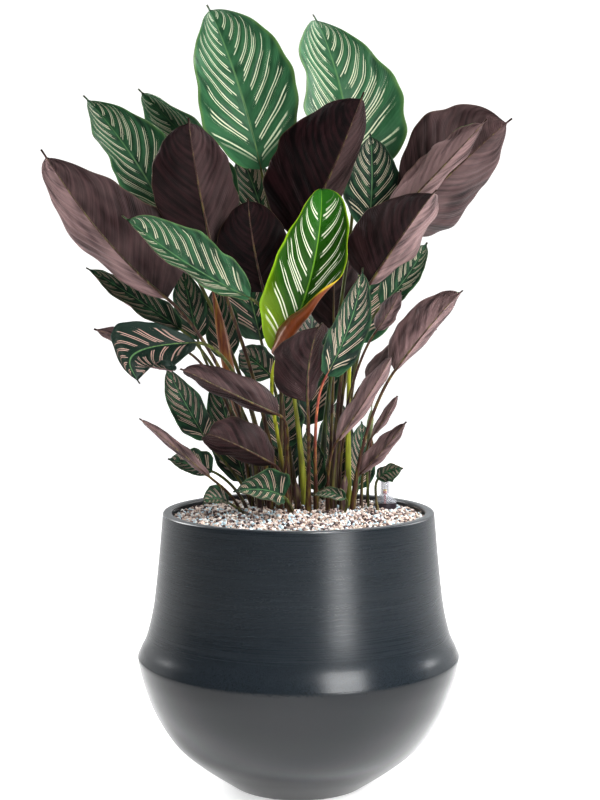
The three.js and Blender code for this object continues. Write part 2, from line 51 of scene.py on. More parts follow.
GAP = 0.3
POT_HEIGHT = 340
FLOOR = 12
FOOT_RADIUS = 86
BELLY_RADIUS = 200
BELLY_HEIGHT = 159
MOUTH_RADIUS = 168
RIM_WIDTH = 11.5
RIM_EDGE = 3
RIM_SKIN = 0.7
SOIL_TOP = 316
GRAVEL_EDGE = 331
GRAVEL_TOP = 341
LEVEL_RADIUS = 64
CLUMP = np.array([15.0, 35.0])
GAUGE_PLACE = np.array([109.0, 33.0])
SLEEVE_RADIUS = 14.5
SLEEVE_BORE = 12
SLEEVE_BOTTOM = 62
SLEEVE_TOP = 345
CAP_CONE = 10
CAP_WALL = 1.6
CAP_BAND = 2
CAP_PROUD = 0.5
NECK_RADIUS = 5.7
NECK_BORE = 4.3
NECK_TOP = 384
STALK = 5
STALK_FOOT = 1.15
STALK_NECK = 0.8
STALK_RISE = 0.4
STALK_LEAN = 0.2
ROOT_HEIGHT = SOIL_TOP + GAP
DRIP_TIP = 0.95
HALF = (1, 0.42, 0.62, 0.5)
TAIL = 1.2
HOOK = 4
HOOK_START = 0.8
MARGIN_WAVE = 3
WAVES = 2.5
WAVY_WIDTH = 100
NEW_LEAF = 7

# ---- how finely the meshes are made ----

ROW_STEP = 2.4
COLUMN_STEP = 3.4
ROLLED_STEP = 1.6
FEWEST_ROWS = 22
FEWEST_COLUMNS = 8
SECTION_STEPS = 48
STALK_SIDES = 10
STALK_RINGS = 26
RIB_RINGS = 30
SPEAR_SIDES = 18
STEM_RINGS = 23
ROLL_RINGS = 26
POT_SIDES = 160
GAUGE_SIDES = 48

# The leaves whose undersides are seen from the front.
UNDERSIDES = {*range(23, 40), 41, 42}

# Each leaf: where its stalk stands, then the base, the middle and the tip of its midrib, its
# width, and in degrees its turn about the midrib from facing the front, the fold of each half
# at the midrib and the further curl out to the margin. Then, where they differ from HALF, its
# left and its right half, as seen on the upper face with the tip up: each one's share of the
# width, where its belly lies and how fast it narrows to tip and base.
LEAVES = [
    ((5, 62), (-47, 60, 763), (-78, 72, 876), (-118, 118, 980), 151, 14, 17, 23,
     (0.96, 0.38, 0.8, 0.65), (0.98, 0.43, 0.64, 0.6)),
    ((28, 78), (70, 92, 762), (54, 107, 868), (20, 150, 973), 168, 28, 17, 23,
     (1.08, 0.42, 0.65, 0.6), (0.92, 0.36, 0.78, 0.5)),
    ((-38, 48), (-167, 40, 707), (-210, 52, 781), (-273, 80, 860), 111, 23, 21, 28,
     (0.95, 0.42, 0.7, 0.55), (0.92, 0.4, 0.8, 0.5)),
    ((-12, 78), (-80, 95, 722), (-140, 118, 800), (-213, 160, 877), 92, -4, 28, 37,
     HALF, (0.85, 0.42, 0.7, 0.5)),
    ((5, 92), (-40, 118, 683), (-55, 135, 736), (-80, 165, 797), 71, 4, 19, 25),
    ((-24, 4), (-58, -52, 603), (-134, -80, 646), (-201, -118, 699), 84, 27, 28, 37,
     (0.9, 0.5, 0.5, 0.5), (1, 0.5, 0.5, 0.5)),
    ((-12, -2), (-25, -52, 532), (14, -62, 625), (28, -58, 733), 112, -21, 22, 30,
     (0.93, 0.46, 0.5, 0.5), (1, 0.5, 0.42, 0.15)),
    ((45, 62), (88, 52, 690), (92, 50, 750), (90, 56, 809), 76, 4, 15, 20),
    ((22, -12), (33, -66, 511), (61, -82, 575), (75, -104, 638), 52, 11, 17, 23),
    ((60, 28), (102, 2, 593), (135, 8, 631), (159, 16, 672), 54, -9, 20, 27,
     HALF, (0.75, 0.42, 0.62, 0.5)),
    ((-50, 38), (-147, 40, 562), (-207, 36, 604), (-264, 26, 640), 67, 8, 37, 50),
    ((-34, -2), (-120, -85, 551), (-187, -135, 541), (-177, -166, 511), 92, 10, 12, 30,
     (1.2, 0.6, 0.45, 0.4), (0.85, 0.6, 0.45, 0.5)),
    ((-54, 22), (-114, -5, 428), (-137, -18, 472), (-161, -30, 520), 54, -2, 20, 26,
     (0.9, 0.5, 0.6, 0.55)),
    ((-10, 68), (-34, 72, 501), (-55, 80, 520), (-78, 92, 535), 51, 0, 16, 21),
    ((-60, 10), (-107, -6, 389), (-134, -10, 398), (-160, -16, 405), 44, 0, 23, 31,
     (0.55, 0.42, 0.62, 0.5), (1.45, 0.42, 0.62, 0.5)),
    ((-2, -32), (-18, -40, 362), (-44, -56, 373), (-76, -78, 374), 57, 23, 28, 38,
     HALF, (1.15, 0.42, 0.62, 0.5)),
    ((22, 44), (25, 48, 358), (17, 50, 397), (10, 54, 437), 38, 0, 18, 24),
    ((100, 0), (99, 12, 377), (113, 5, 389), (129, 0, 391), 38, 5, 30, 40,
     (0.9, 0.55, 0.45, 0.5), (0.9, 0.55, 0.45, 0.5)),
    ((-54, -26), (-86, -32, 354), (-101, -42, 360), (-115, -54, 356), 36, 50, 20, 26),
    ((52, -26), (57, -34, 359), (36, -42, 368), (18, -52, 365), 22, 9, 29, 38),
    ((-44, 60), (-128, 62, 549), (-138, 68, 593), (-149, 78, 640), 49, 0, 16, 21),
    ((-32, 70), (-94, 75, 523), (-99, 82, 571), (-110, 92, 618), 49, 0, 16, 21),
    ((-46, 6), (-160, -14, 602), (-237, -44, 681), (-300, -80, 778), 156, 162, 20, 26,
     (0.95, 0.32, 0.68, 0.42), (0.66, 0.5, 0.5, 0.65)),
    ((-26, 26), (-103, -29, 656), (-119, -50, 738), (-129, -79, 815), 107, 190, 16, 22,
     HALF, (1.1, 0.5, 0.55, 0.5)),
    ((8, 32), (-3, 0, 674), (42, -24, 759), (76, -70, 846), 156, 203, 22, 30,
     (0.6, 0.42, 0.62, 0.5)),
    ((-12, 20), (-42, -18, 610), (-54, -40, 667), (-60, -72, 723), 94, 187, 12, 16),
    ((62, 50), (123, 20, 693), (187, 10, 755), (258, -10, 821), 169, 201, 21, 28,
     (1.08, 0.38, 0.72, 0.45), (0.88, 0.6, 0.42, 0.65)),
    ((62, 8), (105, -20, 691), (166, -46, 753), (221, -72, 813), 88, 180, 35, 45,
     (0.65, 0.42, 0.62, 0.5)),
    ((42, -4), (84, -50, 619), (120, -78, 674), (158, -125, 730), 136, 203, 25, 34,
     (0.88, 0.42, 0.62, 0.5), (0.85, 0.36, 0.8, 0.5)),
    ((66, -8), (116, -45, 516), (154, -68, 568), (191, -105, 615), 69, 201, 31, 41),
    ((50, 20), (83, -14, 503), (123, -15, 536), (168, -22, 566), 44, 191, 36, 47),
    ((12, -22), (11, -85, 481), (13, -108, 532), (25, -150, 578), 91, 208, 25, 33,
     HALF, (1, 0.4, 1, 0.5)),
    ((-24, -12), (-24, -60, 464), (-83, -98, 495), (-136, -145, 526), 64, 161, 28, 37,
     (0.85, 0.35, 0.5, 0.42), (0.9, 0.45, 0.6, 0.5)),
    ((-10, -30), (-30, -42, 402), (-72, -78, 429), (-109, -130, 450), 69, 170, 23, 30,
     (1, 0.45, 0.6, 0.45), (0.95, 0.5, 0.5, 0.5)),
    ((-68, -10), (-106, -58, 388), (-148, -80, 428), (-186, -115, 466), 33, 180, 41, 55),
    ((36, -18), (46, -45, 430), (81, -72, 485), (110, -110, 540), 54, 182, 39, 52),
    ((68, 22), (76, -4, 386), (105, -21, 419), (131, -45, 456), 40, 184, 33, 45,
     (1, 0.36, 0.7, 0.5), (1, 0.36, 0.7, 0.5)),
    ((-58, 44), (-154, 12, 542), (-203, 2, 551), (-251, -6, 565), 40, 180, 25, 33),
    ((78, 14), (93, 8, 433), (110, 2, 459), (122, -12, 485), 18, 184, 30, 39),
    ((0, 44), (-23, 42, 412), (-20, 52, 449), (-17, 66, 486), 60, 0, 14, 19),
    ((44, 4), (94, -38, 564), (109, -44, 587), (123, -50, 613), 34, 180, 27, 36),
    ((40, 72), (46, 112, 560), (46, 114, 628), (48, 122, 690), 80, 180, 16, 22),
    ((12, 92), (12, 165, 430), (16, 198, 522), (20, 262, 585), 92, 0, 14, 16),
    ((34, 88), (75, 150, 540), (100, 177, 632), (125, 232, 700), 96, 0, 14, 16),
    ((-4, 90), (-50, 150, 545), (-74, 177, 634), (-98, 232, 700), 96, 0, 14, 16),
    ((26, 94), (40, 118, 352), (48, 130, 408), (54, 152, 470), 58, 5, 14, 16),
    ((-6, 98), (-20, 120, 352), (-26, 132, 408), (-30, 154, 470), 62, -5, 14, 16),
    ((60, 82), (77, 100, 352), (81, 112, 395), (84, 132, 440), 44, 8, 14, 16),
    ((-30, 84), (-70, 100, 362), (-90, 112, 430), (-112, 128, 502), 62, -8, 14, 16),
]

# How much each margin wanders in and out.
UNEVEN = 0.022

# Leaves that twist from base to tip, in degrees, and where their drip tips start.
TWISTS = {7: 60}
DRIP_TIPS = {7: 1}

# Margins that roll over: the half (-1 left, 1 right), the shares of the midrib between which
# it rolls, how far out the roll starts at each of them, its turn in degrees, which is positive
# towards the upper face, and its radius.
ROLLS = {
    7: ((1, 0.0, 0.26, 0.1, 0.26, 168, 7), (1, 0.26, 0.58, 0.26, 0.97, 168, 7)),
    28: ((1, 0.62, 1.0, 1.0, 0.25, -185, 3.2), (1, 0.1, 0.55, 0.9, 0.9, -150, 2.4)),
    29: ((1, 0.9, 1.0, 1.0, 0.5, -170, 2.5),),
}

# ---- colours, as linear red, green and blue ----

WINE = (0.030, 0.012, 0.012)
BROWN = (0.06, 0.022, 0.014)
SALMON = (0.10, 0.045, 0.04)
OLIVE = (0.07, 0.085, 0.022)
MOSS = (0.022, 0.045, 0.018)
LIME = (0.55, 0.60, 0.02)
YELLOW_GREEN = (0.26, 0.28, 0.03)
PINK_RED = (0.42, 0.10, 0.07)
PALE_GREEN = (0.13, 0.26, 0.10)
TIP_BROWN = (0.03, 0.014, 0.008)
DARK_STREAK = (0.018, 0.006, 0.006)
GREENS = (0.004, 0.019, 0.012), (0.052, 0.175, 0.078)
MARGIN_GREEN = (0.16, 0.27, 0.07)
RIB_GREEN = (0.12, 0.26, 0.10)
STRIPE_CREAM = (0.80, 0.85, 0.62)
STRIPE_PINK = (0.52, 0.34, 0.29)
PURPLES = (0.0025, 0.0006, 0.0009), (0.022, 0.0072, 0.0088)
# Painted light: the pale mauve of an underside where light falls on it.
PAINTED_LIT_PURPLE = (0.27, 0.178, 0.176)
EDGE_BROWN = (0.16, 0.10, 0.05)
NEW_GREENS = (0.005, 0.034, 0.001), (0.028, 0.125, 0.0015)
NEW_TIP = (0.03, 0.15, 0.015)
NEW_BASE = (0.24, 0.36, 0.004)
NEW_MARGIN = (0.24, 0.40, 0.01)
NEW_RIB = (0.16, 0.36, 0.03)
NEW_RIB_BELOW = (0.20, 0.06, 0.01)
NEW_STRIPE = (0.80, 0.82, 0.66)
ORANGES = (0.11, 0.020, 0.006), (0.28, 0.068, 0.010)
ORANGE_EDGE = (0.50, 0.36, 0.01)
SLATES = (0.0045, 0.0062, 0.008), (0.015, 0.0195, 0.024)
SLATE_CLOUD = (0.008, 0.011, 0.014)
BRUSHED_GREY = (0.04, 0.046, 0.052)
# Painted shade that darkens the bowl.
BOWL_PAINTED_SHADE = (0.001, 0.0015, 0.002)
RIM_GREYS = (0.03, 0.036, 0.040), (0.07, 0.078, 0.084)
SOIL_BROWNS = (0.012, 0.008, 0.005), (0.07, 0.045, 0.03)
GRAIN_SPECK = (0.18, 0.14, 0.12)
# Painted shade in the gaps between the grains.
GRAVEL_GAP_PAINTED_SHADE = (0.008, 0.006, 0.006)
SLEEVE_BLACKS = (0.014, 0.009, 0.013), (0.035, 0.024, 0.032)
CAP_GREYS = (0.30, 0.31, 0.35), (0.46, 0.47, 0.50)
FLOAT_RED = (0.42, 0.008, 0.008)
FLOAT_ORANGE = (0.80, 0.16, 0.008)
FLOAT_YELLOW = (0.85, 0.55, 0.02)
FLOAT_SCUFF = (0.2, 0.02, 0.01)
FLOOR_WHITE = (0.86, 0.86, 0.86)

# Each leaf's two looks. An upper face has how pink its stripes are and its painted light and shade,
# how light its green is painted; an underside has the painted light on each of its two halves, how
# pale each is painted. Numbers below 0 are darker still.
UPPER_PINK_AND_PAINTED_LIGHT = (0.85, 0.05)
UNDER_PAINTED_LIGHT = (0.1, 0.1)
PINK_AND_PAINTED_LIGHT = {
    1: (0.0, 1.1), 2: (0.05, 1.0), 3: (0.3, 0.55), 4: (0.2, 0.95), 5: (0.6, 0.25),
    6: (0.35, 0.6), 7: (0.0, 1.0), 8: (0.5, -0.05), 9: (0.7, 0.0), 10: (0.5, 0.2),
    11: (0.8, 0.05), 12: (1.0, -0.8), 23: (0.22, 0.85), 24: (0.18, 0.04), 25: (0.22, -0.2),
    26: (-0.1, -0.1), 27: (0.36, 0.3), 28: (0.75, 1.5), 29: (0.9, 0.06), 30: (0.8, 0.65),
    31: (0.3, 0.3), 32: (0.1, 0.12), 33: (0.2, 0.1), 34: (0.12, 0.1), 35: (0.6, 0.5),
    36: (0.8, 0.7), 37: (0.7, 0.6), 38: (0.5, 0.4), 39: (0.7, 0.6), 41: (0.5, 0.4),
}

# The colours of a stalk at the foot and at the neck, where they differ from the rest.
STALK_TONES = {
    1: (MOSS, OLIVE), 2: (MOSS, OLIVE), 7: (BROWN, LIME), 9: (BROWN, PINK_RED),
    23: (WINE, BROWN), 25: (YELLOW_GREEN, OLIVE), 27: (MOSS, OLIVE),
    28: (YELLOW_GREEN, LIME), 33: (BROWN, BROWN),
}

# How many times the usual number of stripes a leaf has.
DENSITIES = {7: 0.8, 11: 1.1}

# Rolled leaves and sheaths: where each stands, a point that its stem passes, its tip, the
# radius of its stem, its widest radius and its colours at the foot and at the tip.
SPEARS = [
    ("spear_tall", (-38, 22), (-76, 15, 463), (-114, 15, 650), 2.8, 8, WINE, (0.20, 0.055, 0.02)),
    ("spear_slim", (86, 42), (90, 37, 400), (92, 34, 472), 1.8, 3, WINE, (0.10, 0.03, 0.02)),
    ("spear_pale", (88, 22), (88, 22, 430), (92, 22, 472), 1.6, 4.5, OLIVE, (0.22, 0.26, 0.14)),
    ("sheath_front", (2, -8), (-1, -10, 350), (-4, -14, 384), 4.5, 5.5, BROWN,
     (0.06, 0.028, 0.030)),
    ("sheath_right", (54, -14), (55, -14, 360), (58, -14, 392), 4, 5, WINE,
     (0.085, 0.045, 0.050)),
]

# Each grain's colour and the share of the grains that have it.
GRAIN_TONES = [
    ((0.62, 0.51, 0.44), 0.30), ((0.36, 0.27, 0.22), 0.13), ((0.48, 0.64, 0.72), 0.15),
    ((0.80, 0.79, 0.77), 0.15), ((0.040, 0.024, 0.026), 0.17), ((0.13, 0.085, 0.085), 0.10),
]

# ---- vector helpers ----


def unit(vectors):
    return vectors / np.linalg.norm(vectors, axis=-1, keepdims=True)


def dot(a, b):
    return np.sum(a * b, axis=-1, keepdims=True)


def turn_about(vectors, axes, angles):
    """The vectors turned about the unit axes by angles in radians."""
    cosine = np.cos(angles)[..., None]
    sine = np.sin(angles)[..., None]
    across = np.cross(axes, vectors)
    return vectors * cosine + across * sine + axes * dot(axes, vectors) * (1 - cosine)


def cubic(a, b, c, d, share):
    """Points of a cubic curve from a to d."""
    rest = 1 - share
    return rest ** 3 * a + 3 * rest ** 2 * share * b + 3 * rest * share ** 2 * c + share ** 3 * d


def smoothstep(low, high, values):
    share = np.clip((values - low) / (high - low), 0, 1)
    return share * share * (3 - 2 * share)


# ---- leaf form ----

FEWEST_PAIRS = 5
PAIR_STEP = 34
VEINS_PER_PAIR = 7


class Leaf:
    """One leafy stem, with the same form as its solid."""

    def __init__(self, number, row):
        root, base, middle, tip, width, turn, fold, curl, *halves = row
        self.number = number
        self.under = number in UNDERSIDES
        self.root = np.array([*root, ROOT_HEIGHT], float)
        self.start = np.array(base, float)
        self.end = np.array(tip, float)
        self.control = 2 * np.array(middle, float) - (self.start + self.end) / 2
        self.chord = unit(self.end - self.start)
        facing = np.array([0.0, -1.0, 0.0])
        facing = unit(facing - self.chord * dot(facing, self.chord))
        self.facing = turn_about(facing, self.chord, np.array(math.radians(turn)))
        self.half_width = width / 2
        self.fold = math.radians(fold)
        self.curl = math.radians(curl)
        self.twist = math.radians(TWISTS.get(number, 0))
        self.drip = DRIP_TIPS.get(number, DRIP_TIP)
        self.halves = (*halves, HALF, HALF)[:2]
        self.wave = MARGIN_WAVE * min(1, width / WAVY_WIDTH)
        self.rolls = ROLLS.get(number, ())
        steps = np.diff(self.midrib(np.linspace(0, 1, 40)), axis=0)
        self.length = float(np.sum(np.linalg.norm(steps, axis=1)))
        self.random = random.Random(1000 + number)
        self.waves = [self.random.uniform(0, TURN) for _ in range(4)]

    def midrib(self, share):
        share = np.asarray(share)[..., None]
        rest = 1 - share
        return rest ** 2 * self.start + 2 * rest * share * self.control + share ** 2 * self.end

    def frame(self, share):
        """Point, direction, upper side and rightward side at shares of the midrib."""
        share = np.asarray(share, float)
        point = self.midrib(share)
        first = self.control - self.start
        last = self.end - self.control
        along = unit(first * (1 - share[..., None]) + last * share[..., None])
        bend = np.cross(self.chord, along)
        cosine = dot(along, self.chord)
        shift = np.cross(bend, np.broadcast_to(self.facing, bend.shape))
        up = self.facing + shift
        up = up + np.cross(bend, shift) / (1 + cosine)
        up = unit(up - along * dot(up, along))
        up = turn_about(up, along, self.twist * (share - 0.5))
        side = np.cross(along, up)
        hook = np.clip((share - HOOK_START) / (1 - HOOK_START), 0, 1) ** 2
        return point - up * HOOK * hook[..., None], along, up, side

    def reach(self, share, hand):
        """How far each half's blade reaches from the midrib."""
        blade = np.minimum(share / self.drip, 1)
        reaches = []
        for wide, belly, full, heel in self.halves:
            swell = np.sin(np.pi * blade ** (math.log(0.5) / math.log(belly)))
            power = np.where(blade < belly, heel, full)
            reaches.append(wide * np.maximum(swell, 0) ** power)
        first, _, third, _ = self.waves
        uneven = np.sin(19 * share + first + 2 * hand) + 0.7 * np.sin(37 * share + third - hand)
        reach = self.half_width * np.where(hand < 0, *reaches) * (1 + UNEVEN * uneven)
        return np.maximum(reach, np.where(share > 0.5, TAIL, STALK * 0.3))

    def section(self, share, out, hand, reach):
        """Sideways and upward distances and the slope at each point of the blade's section."""
        steps = np.linspace(0, 1, SECTION_STEPS + 1)
        spot = out[..., None] * steps
        slope = self.fold + self.curl * spot
        for side, low, high, start_low, start_high, turn, radius in self.rolls:
            part = (share - low) / (high - low)
            start = start_low + (start_high - start_low) * part
            rolled = (spot - start[..., None]) * reach[..., None] / radius
            rolled = np.clip(rolled, 0, abs(np.radians(turn))) * np.sign(turn)
            here = (hand == side) & (share >= low) & (share < high)
            slope = slope + np.where(here[..., None], rolled, 0)
        length = (reach * out / SECTION_STEPS)[..., None]
        middle = (slope[..., 1:] + slope[..., :-1]) / 2
        sideways = np.sum(np.cos(middle) * length, axis=-1)
        upward = np.sum(np.sin(middle) * length, axis=-1)
        return sideways, upward, slope[..., -1]

    def surface(self, share, across, vein):
        """Points and upward directions of the blade's middle surface. The vein is the share
        of the midrib that each point's lateral vein starts from."""
        point, _, up, side = self.frame(share)
        hand = np.sign(across)
        out = np.abs(across)
        reach = self.reach(share, hand)
        sideways, upward, slope = self.section(share, out, hand, reach)
        normal = np.where(hand[..., None] == 0, up,
                          up * np.cos(slope)[..., None] - side * (hand * np.sin(slope))[..., None])
        relative = reach / self.half_width
        phase = np.where(hand > 0, 0.37, 0)
        wave = np.sin(TURN * (WAVES * share + phase))
        lift = self.wave * out ** 1.5 * wave * relative
        lift = lift + self.puckers(share, out, hand) * relative
        lift = lift + self.pleats(vein, out) * relative
        shifted = point + side * (hand * sideways)[..., None] + up * upward[..., None]
        return shifted + normal * lift[..., None], normal

    def pairs(self):
        """How many pairs of stripes the leaf has on each half."""
        return (FEWEST_PAIRS + self.length / PAIR_STEP) * DENSITIES.get(self.number, 1)

    def pleats(self, vein, out):
        """The blade is softly pleated along its lateral veins."""
        depth = 0.0045 * self.half_width + 0.35
        window = smoothstep(0.02, 0.3, out) * (1 - 0.75 * smoothstep(0.7, 1, out))
        return depth * np.cos(TURN * vein * self.pairs()) * window

    def puckers(self, share, out, hand):
        """Slow uneven bulges, and a finer ruffle along the margin."""
        first, second, third, fourth = self.waves
        slow = np.sin(5 * share + first + hand) * np.sin(2.2 * out + second) * out
        bulge = np.sin(13 * share + 3 * out + second + hand) * np.sin(3.4 * out + fourth) * out
        ruffle = np.sin(31 * share + third + 2 * hand) * out ** 6
        fine = np.sin(47 * share + fourth - hand) * out ** 8
        size = min(1, self.half_width / 50)
        return size * (2.2 * slow + 1.3 * bulge + 0.9 * ruffle + 0.5 * fine)

    def stalk(self, share):
        """Points of the stalk's middle line, from its root to the blade."""
        top, along, _, _ = self.frame(np.array(0.0))
        length = np.linalg.norm(top - self.root)
        low = self.root + np.array([0, 0, STALK_RISE * length])
        high = top - along * STALK_LEAN * length
        return cubic(self.root, low, high, top, share[:, None])


# ---- meshes ----


def mesh_piece(name, points, faces, materials, face_materials=None, smooth=True):
    """A piece from points in millimetres."""
    mesh = bpy.data.meshes.new(name)
    mesh.from_pydata((np.asarray(points) * MM).tolist(), [], [list(map(int, f)) for f in faces])
    for material in materials:
        mesh.materials.append(material)
    if face_materials is not None:
        mesh.polygons.foreach_set("material_index", np.asarray(face_materials, np.int32))
    mesh.polygons.foreach_set("use_smooth", np.full(len(mesh.polygons), smooth))
    mesh.update()
    piece = bpy.data.objects.new(name, mesh)
    bpy.context.scene.collection.objects.link(piece)
    return piece


def set_points(piece, name, kind, values):
    """An attribute with one value, vector or colour for each of the piece's points."""
    field = {"FLOAT": "value", "FLOAT_VECTOR": "vector", "FLOAT_COLOR": "color"}[kind]
    attribute = piece.data.attributes.new(name, kind, "POINT")
    attribute.data.foreach_set(field, np.asarray(values, np.float32).ravel())


def set_tones(piece, tones):
    """A colour for each of the piece's points, which its material reads."""
    set_points(piece, "tone", "FLOAT_COLOR", np.column_stack([tones, np.ones(len(tones))]))


def stand_in(piece, node):
    """The piece rides on the planter in the place of one of its solids."""
    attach(piece, BODY)
    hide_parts(node)


def set_map(piece, name, coordinates):
    """A UV map from one pair of coordinates for each of the piece's points."""
    mesh = piece.data
    layer = mesh.uv_layers.new(name=name)
    corners = np.empty(len(mesh.loops), np.int32)
    mesh.loops.foreach_get("vertex_index", corners)
    layer.data.foreach_set("uv", np.asarray(coordinates, np.float32)[corners].ravel())


def tube(centres, radii, ups, sides):
    """Rings of points round a line, then the quads between them, with closed ends."""
    centres = np.asarray(centres)
    tangents = unit(np.gradient(centres, axis=0))
    ups = unit(ups - tangents * dot(ups, tangents))
    rights = np.cross(tangents, ups)
    angles = np.arange(sides) * TURN / sides
    ring = (rights[:, None] * np.cos(angles)[None, :, None]
            + ups[:, None] * np.sin(angles)[None, :, None])
    points = (centres[:, None] + ring * np.asarray(radii)[:, None, None]).reshape(-1, 3)
    faces = []
    for row in range(len(centres) - 1):
        for i in range(sides):
            j = (i + 1) % sides
            a, b = row * sides + i, row * sides + j
            faces.append((a, b, b + sides, a + sides))
    faces.append(tuple(range(sides - 1, -1, -1)))
    last = (len(centres) - 1) * sides
    faces.append(tuple(range(last, last + sides)))
    return points, faces


def lathe(profile, sides, centre=(0.0, 0.0)):
    """Turns a closed or axis-to-axis profile of (radius, height) about a vertical axis."""
    points, faces, rings = [], [], []
    for radius, height in profile:
        if radius < 1e-6:
            rings.append([len(points)])
            points.append((centre[0], centre[1], height))
            continue
        rings.append(list(range(len(points), len(points) + sides)))
        for i in range(sides):
            angle = TURN * i / sides
            points.append((centre[0] + radius * math.cos(angle),
                           centre[1] + radius * math.sin(angle), height))
    for low, high in zip(rings, rings[1:]):
        for i in range(sides):
            j = (i + 1) % sides
            corners = [low[i % len(low)], low[j % len(low)], high[j % len(high)],
                       high[i % len(high)]]
            unique = list(dict.fromkeys(corners))
            if len(unique) > 2:
                faces.append(tuple(unique))
    return points, faces


def catmull(points, steps):
    """A smooth line through points, as evenly stepped Catmull-Rom spans."""
    points = np.asarray(points, float)
    count = len(points)
    line = []
    for step in range(steps + 1):
        place = (count - 1) * step / steps
        index = min(int(place), count - 2)
        t = place - index
        p0 = points[max(index - 1, 0)]
        p1, p2 = points[index], points[index + 1]
        p3 = points[min(index + 2, count - 1)]
        v0, v1 = (p2 - p0) / 2, (p3 - p1) / 2
        line.append((2 * p1 - 2 * p2 + v0 + v1) * t ** 3
                    + (-3 * p1 + 3 * p2 - 2 * v0 - v1) * t ** 2 + v0 * t + p1)
    return [tuple(p) for p in line]


# ---- materials ----


class Value:
    """What a node gives out, which can be added, subtracted and multiplied."""

    def __init__(self, tree, socket):
        self.tree = tree
        self.socket = socket

    def __add__(self, other):
        return self.tree.math("ADD", self, other)

    def __sub__(self, other):
        return self.tree.math("SUBTRACT", self, other)

    def __rsub__(self, other):
        return self.tree.math("SUBTRACT", other, self)

    def __mul__(self, other):
        return self.tree.math("MULTIPLY", self, other)

    def step(self, low, high, out_low=0.0, out_high=1.0):
        """Runs smoothly from out_low to out_high as the value goes from low to high."""
        inputs = (self, low, high, out_low, out_high)
        return self.tree.node("MapRange", inputs, interpolation_type="SMOOTHSTEP")

    def clamped(self):
        return self.tree.math("MINIMUM", self.tree.math("MAXIMUM", self, 0.0), 1.0)


class Tree:
    """A node tree that is written as one expression after another."""

    def __init__(self, owner, shader, **constants):
        owner.use_nodes = True
        self.nodes = owner.node_tree.nodes
        self.links = owner.node_tree.links
        self.shader = self.nodes[shader]
        for name, value in constants.items():
            self.put(self.shader.inputs[name.replace("_", " ")], value)

    def put(self, socket, value):
        """Links or sets a socket. A tuple with node values in it is joined to a vector."""
        if isinstance(value, tuple) and any(isinstance(part, Value) for part in value):
            value = self.node("CombineXYZ", value)
        if isinstance(value, Value):
            self.links.new(value.socket, socket)
        elif isinstance(value, tuple) and len(value) < len(socket.default_value):
            socket.default_value = (*value, 1)
        else:
            socket.default_value = value

    def node(self, kind, inputs=(), output=0, **settings):
        """One output of a new node, whose inputs are a tuple or are named by a dictionary."""
        node = self.nodes.new(f"ShaderNode{kind}")
        for name, setting in settings.items():
            setattr(node, name, setting)
        for key, value in inputs.items() if isinstance(inputs, dict) else enumerate(inputs):
            self.put(node.inputs[key], value)
        return Value(self, node.outputs[output])

    def math(self, operation, *values):
        return self.node("Math", values, operation=operation)

    def mix(self, share, a, b):
        return self.node("Mix", {0: share, 6: a, 7: b}, 2, data_type="RGBA")

    def split(self, vector):
        x = self.node("SeparateXYZ", (vector,))
        return [Value(self, output) for output in x.socket.node.outputs]

    def noise(self, vector, scale, detail=2.0, roughness=0.5):
        inputs = {"Vector": vector, "Scale": scale, "Detail": detail, "Roughness": roughness}
        return self.node("TexNoise", inputs)

    def chance(self, vector):
        """Three random numbers for each whole-number vector."""
        return self.split(self.node("TexWhiteNoise", {"Vector": vector}, "Color"))

    def attribute(self, name, output="Color"):
        return self.node("Attribute", output=output, attribute_name=name)

    def place(self):
        """The place in the object's own space, in metres."""
        return self.node("TexCoord", output="Object")

    def stretch(self, vector, *factors):
        return self.node("VectorMath", (vector, factors), operation="MULTIPLY")


class Paint(Tree):
    """A material."""

    def __init__(self, name, **constants):
        self.material = bpy.data.materials.new(name)
        super().__init__(self.material, "Principled BSDF", **constants)

    def bump(self, height, distance, strength=1.0):
        inputs = {"Distance": distance, "Strength": strength, "Height": height}
        self.put(self.shader.inputs["Normal"], self.node("Bump", inputs))

    def finish(self, color, roughness=None):
        self.put(self.shader.inputs["Base Color"], color)
        if roughness is not None:
            self.put(self.shader.inputs["Roughness"], roughness)
        return self.material


def blade_coordinates(paint):
    """The share along, the same in stripe pairs, the distance out from the midrib, the half
    (0 or 1), the leaf's pinkness and painted light, or an underside's painted light on each half,
    and its seed."""
    along, across, _ = paint.split(paint.node("UVMap", uv_map="blade"))
    cell = along * paint.attribute("pairs", "Fac")
    out = paint.math("ABSOLUTE", across)
    half = across.step(-0.001, 0.001)
    return along, cell, out, half, *paint.split(paint.attribute("pink_and_painted_light", "Vector"))


def stripes(paint, along, cell, out, half, seed):
    """Thin lines in pairs along the lateral veins, each with its own start and end."""
    waver = paint.noise((cell, out, seed), 3.0)
    cell = cell + (waver - 0.5) * 0.10
    inside = paint.math("FRACT", cell) - 0.5
    first, second, third = paint.chance((paint.math("FLOOR", cell), half, seed * 91.0))
    ragged = paint.noise((cell * 2.0, out * 3.0, seed), 3.0, 1.0)
    width = out.step(0.1, 0.8, 0.064, 0.042) + ragged * 0.024
    # Where each line lies in its cell, what draws its start and its end, and how rare it is.
    lines = (
        (-0.115, first, second, 0.0),
        (0.105, second, third, 0.0),
        (0.31, third, first, 0.82),
        (-0.31, paint.math("FRACT", first * 7.0), third, 0.9),
    )
    total = 0.0
    for place, start, end, rarity in lines:
        inner = start * 0.14 + 0.05
        outer = 0.92 - end * 0.26
        gap = paint.math("ABSOLUTE", inside - place)
        line = gap.step(width, width * 0.55)
        line = line * out.step(inner, inner + 0.02) * out.step(outer, outer - 0.06)
        if rarity:
            line = line * paint.math("GREATER_THAN", start, rarity)
        total = paint.math("MAXIMUM", total, line)
    return total * (along.step(0.015, 0.06) * along.step(0.93, 0.86))


def veins(paint, cell, out, seed):
    """Fine ridges along the lateral veins, with a slow unevenness."""
    fine = paint.math("SINE", cell * (TURN * VEINS_PER_PAIR))
    return fine * 0.25 + paint.noise((cell, out * 3.0, seed), 2.5, 3.0)


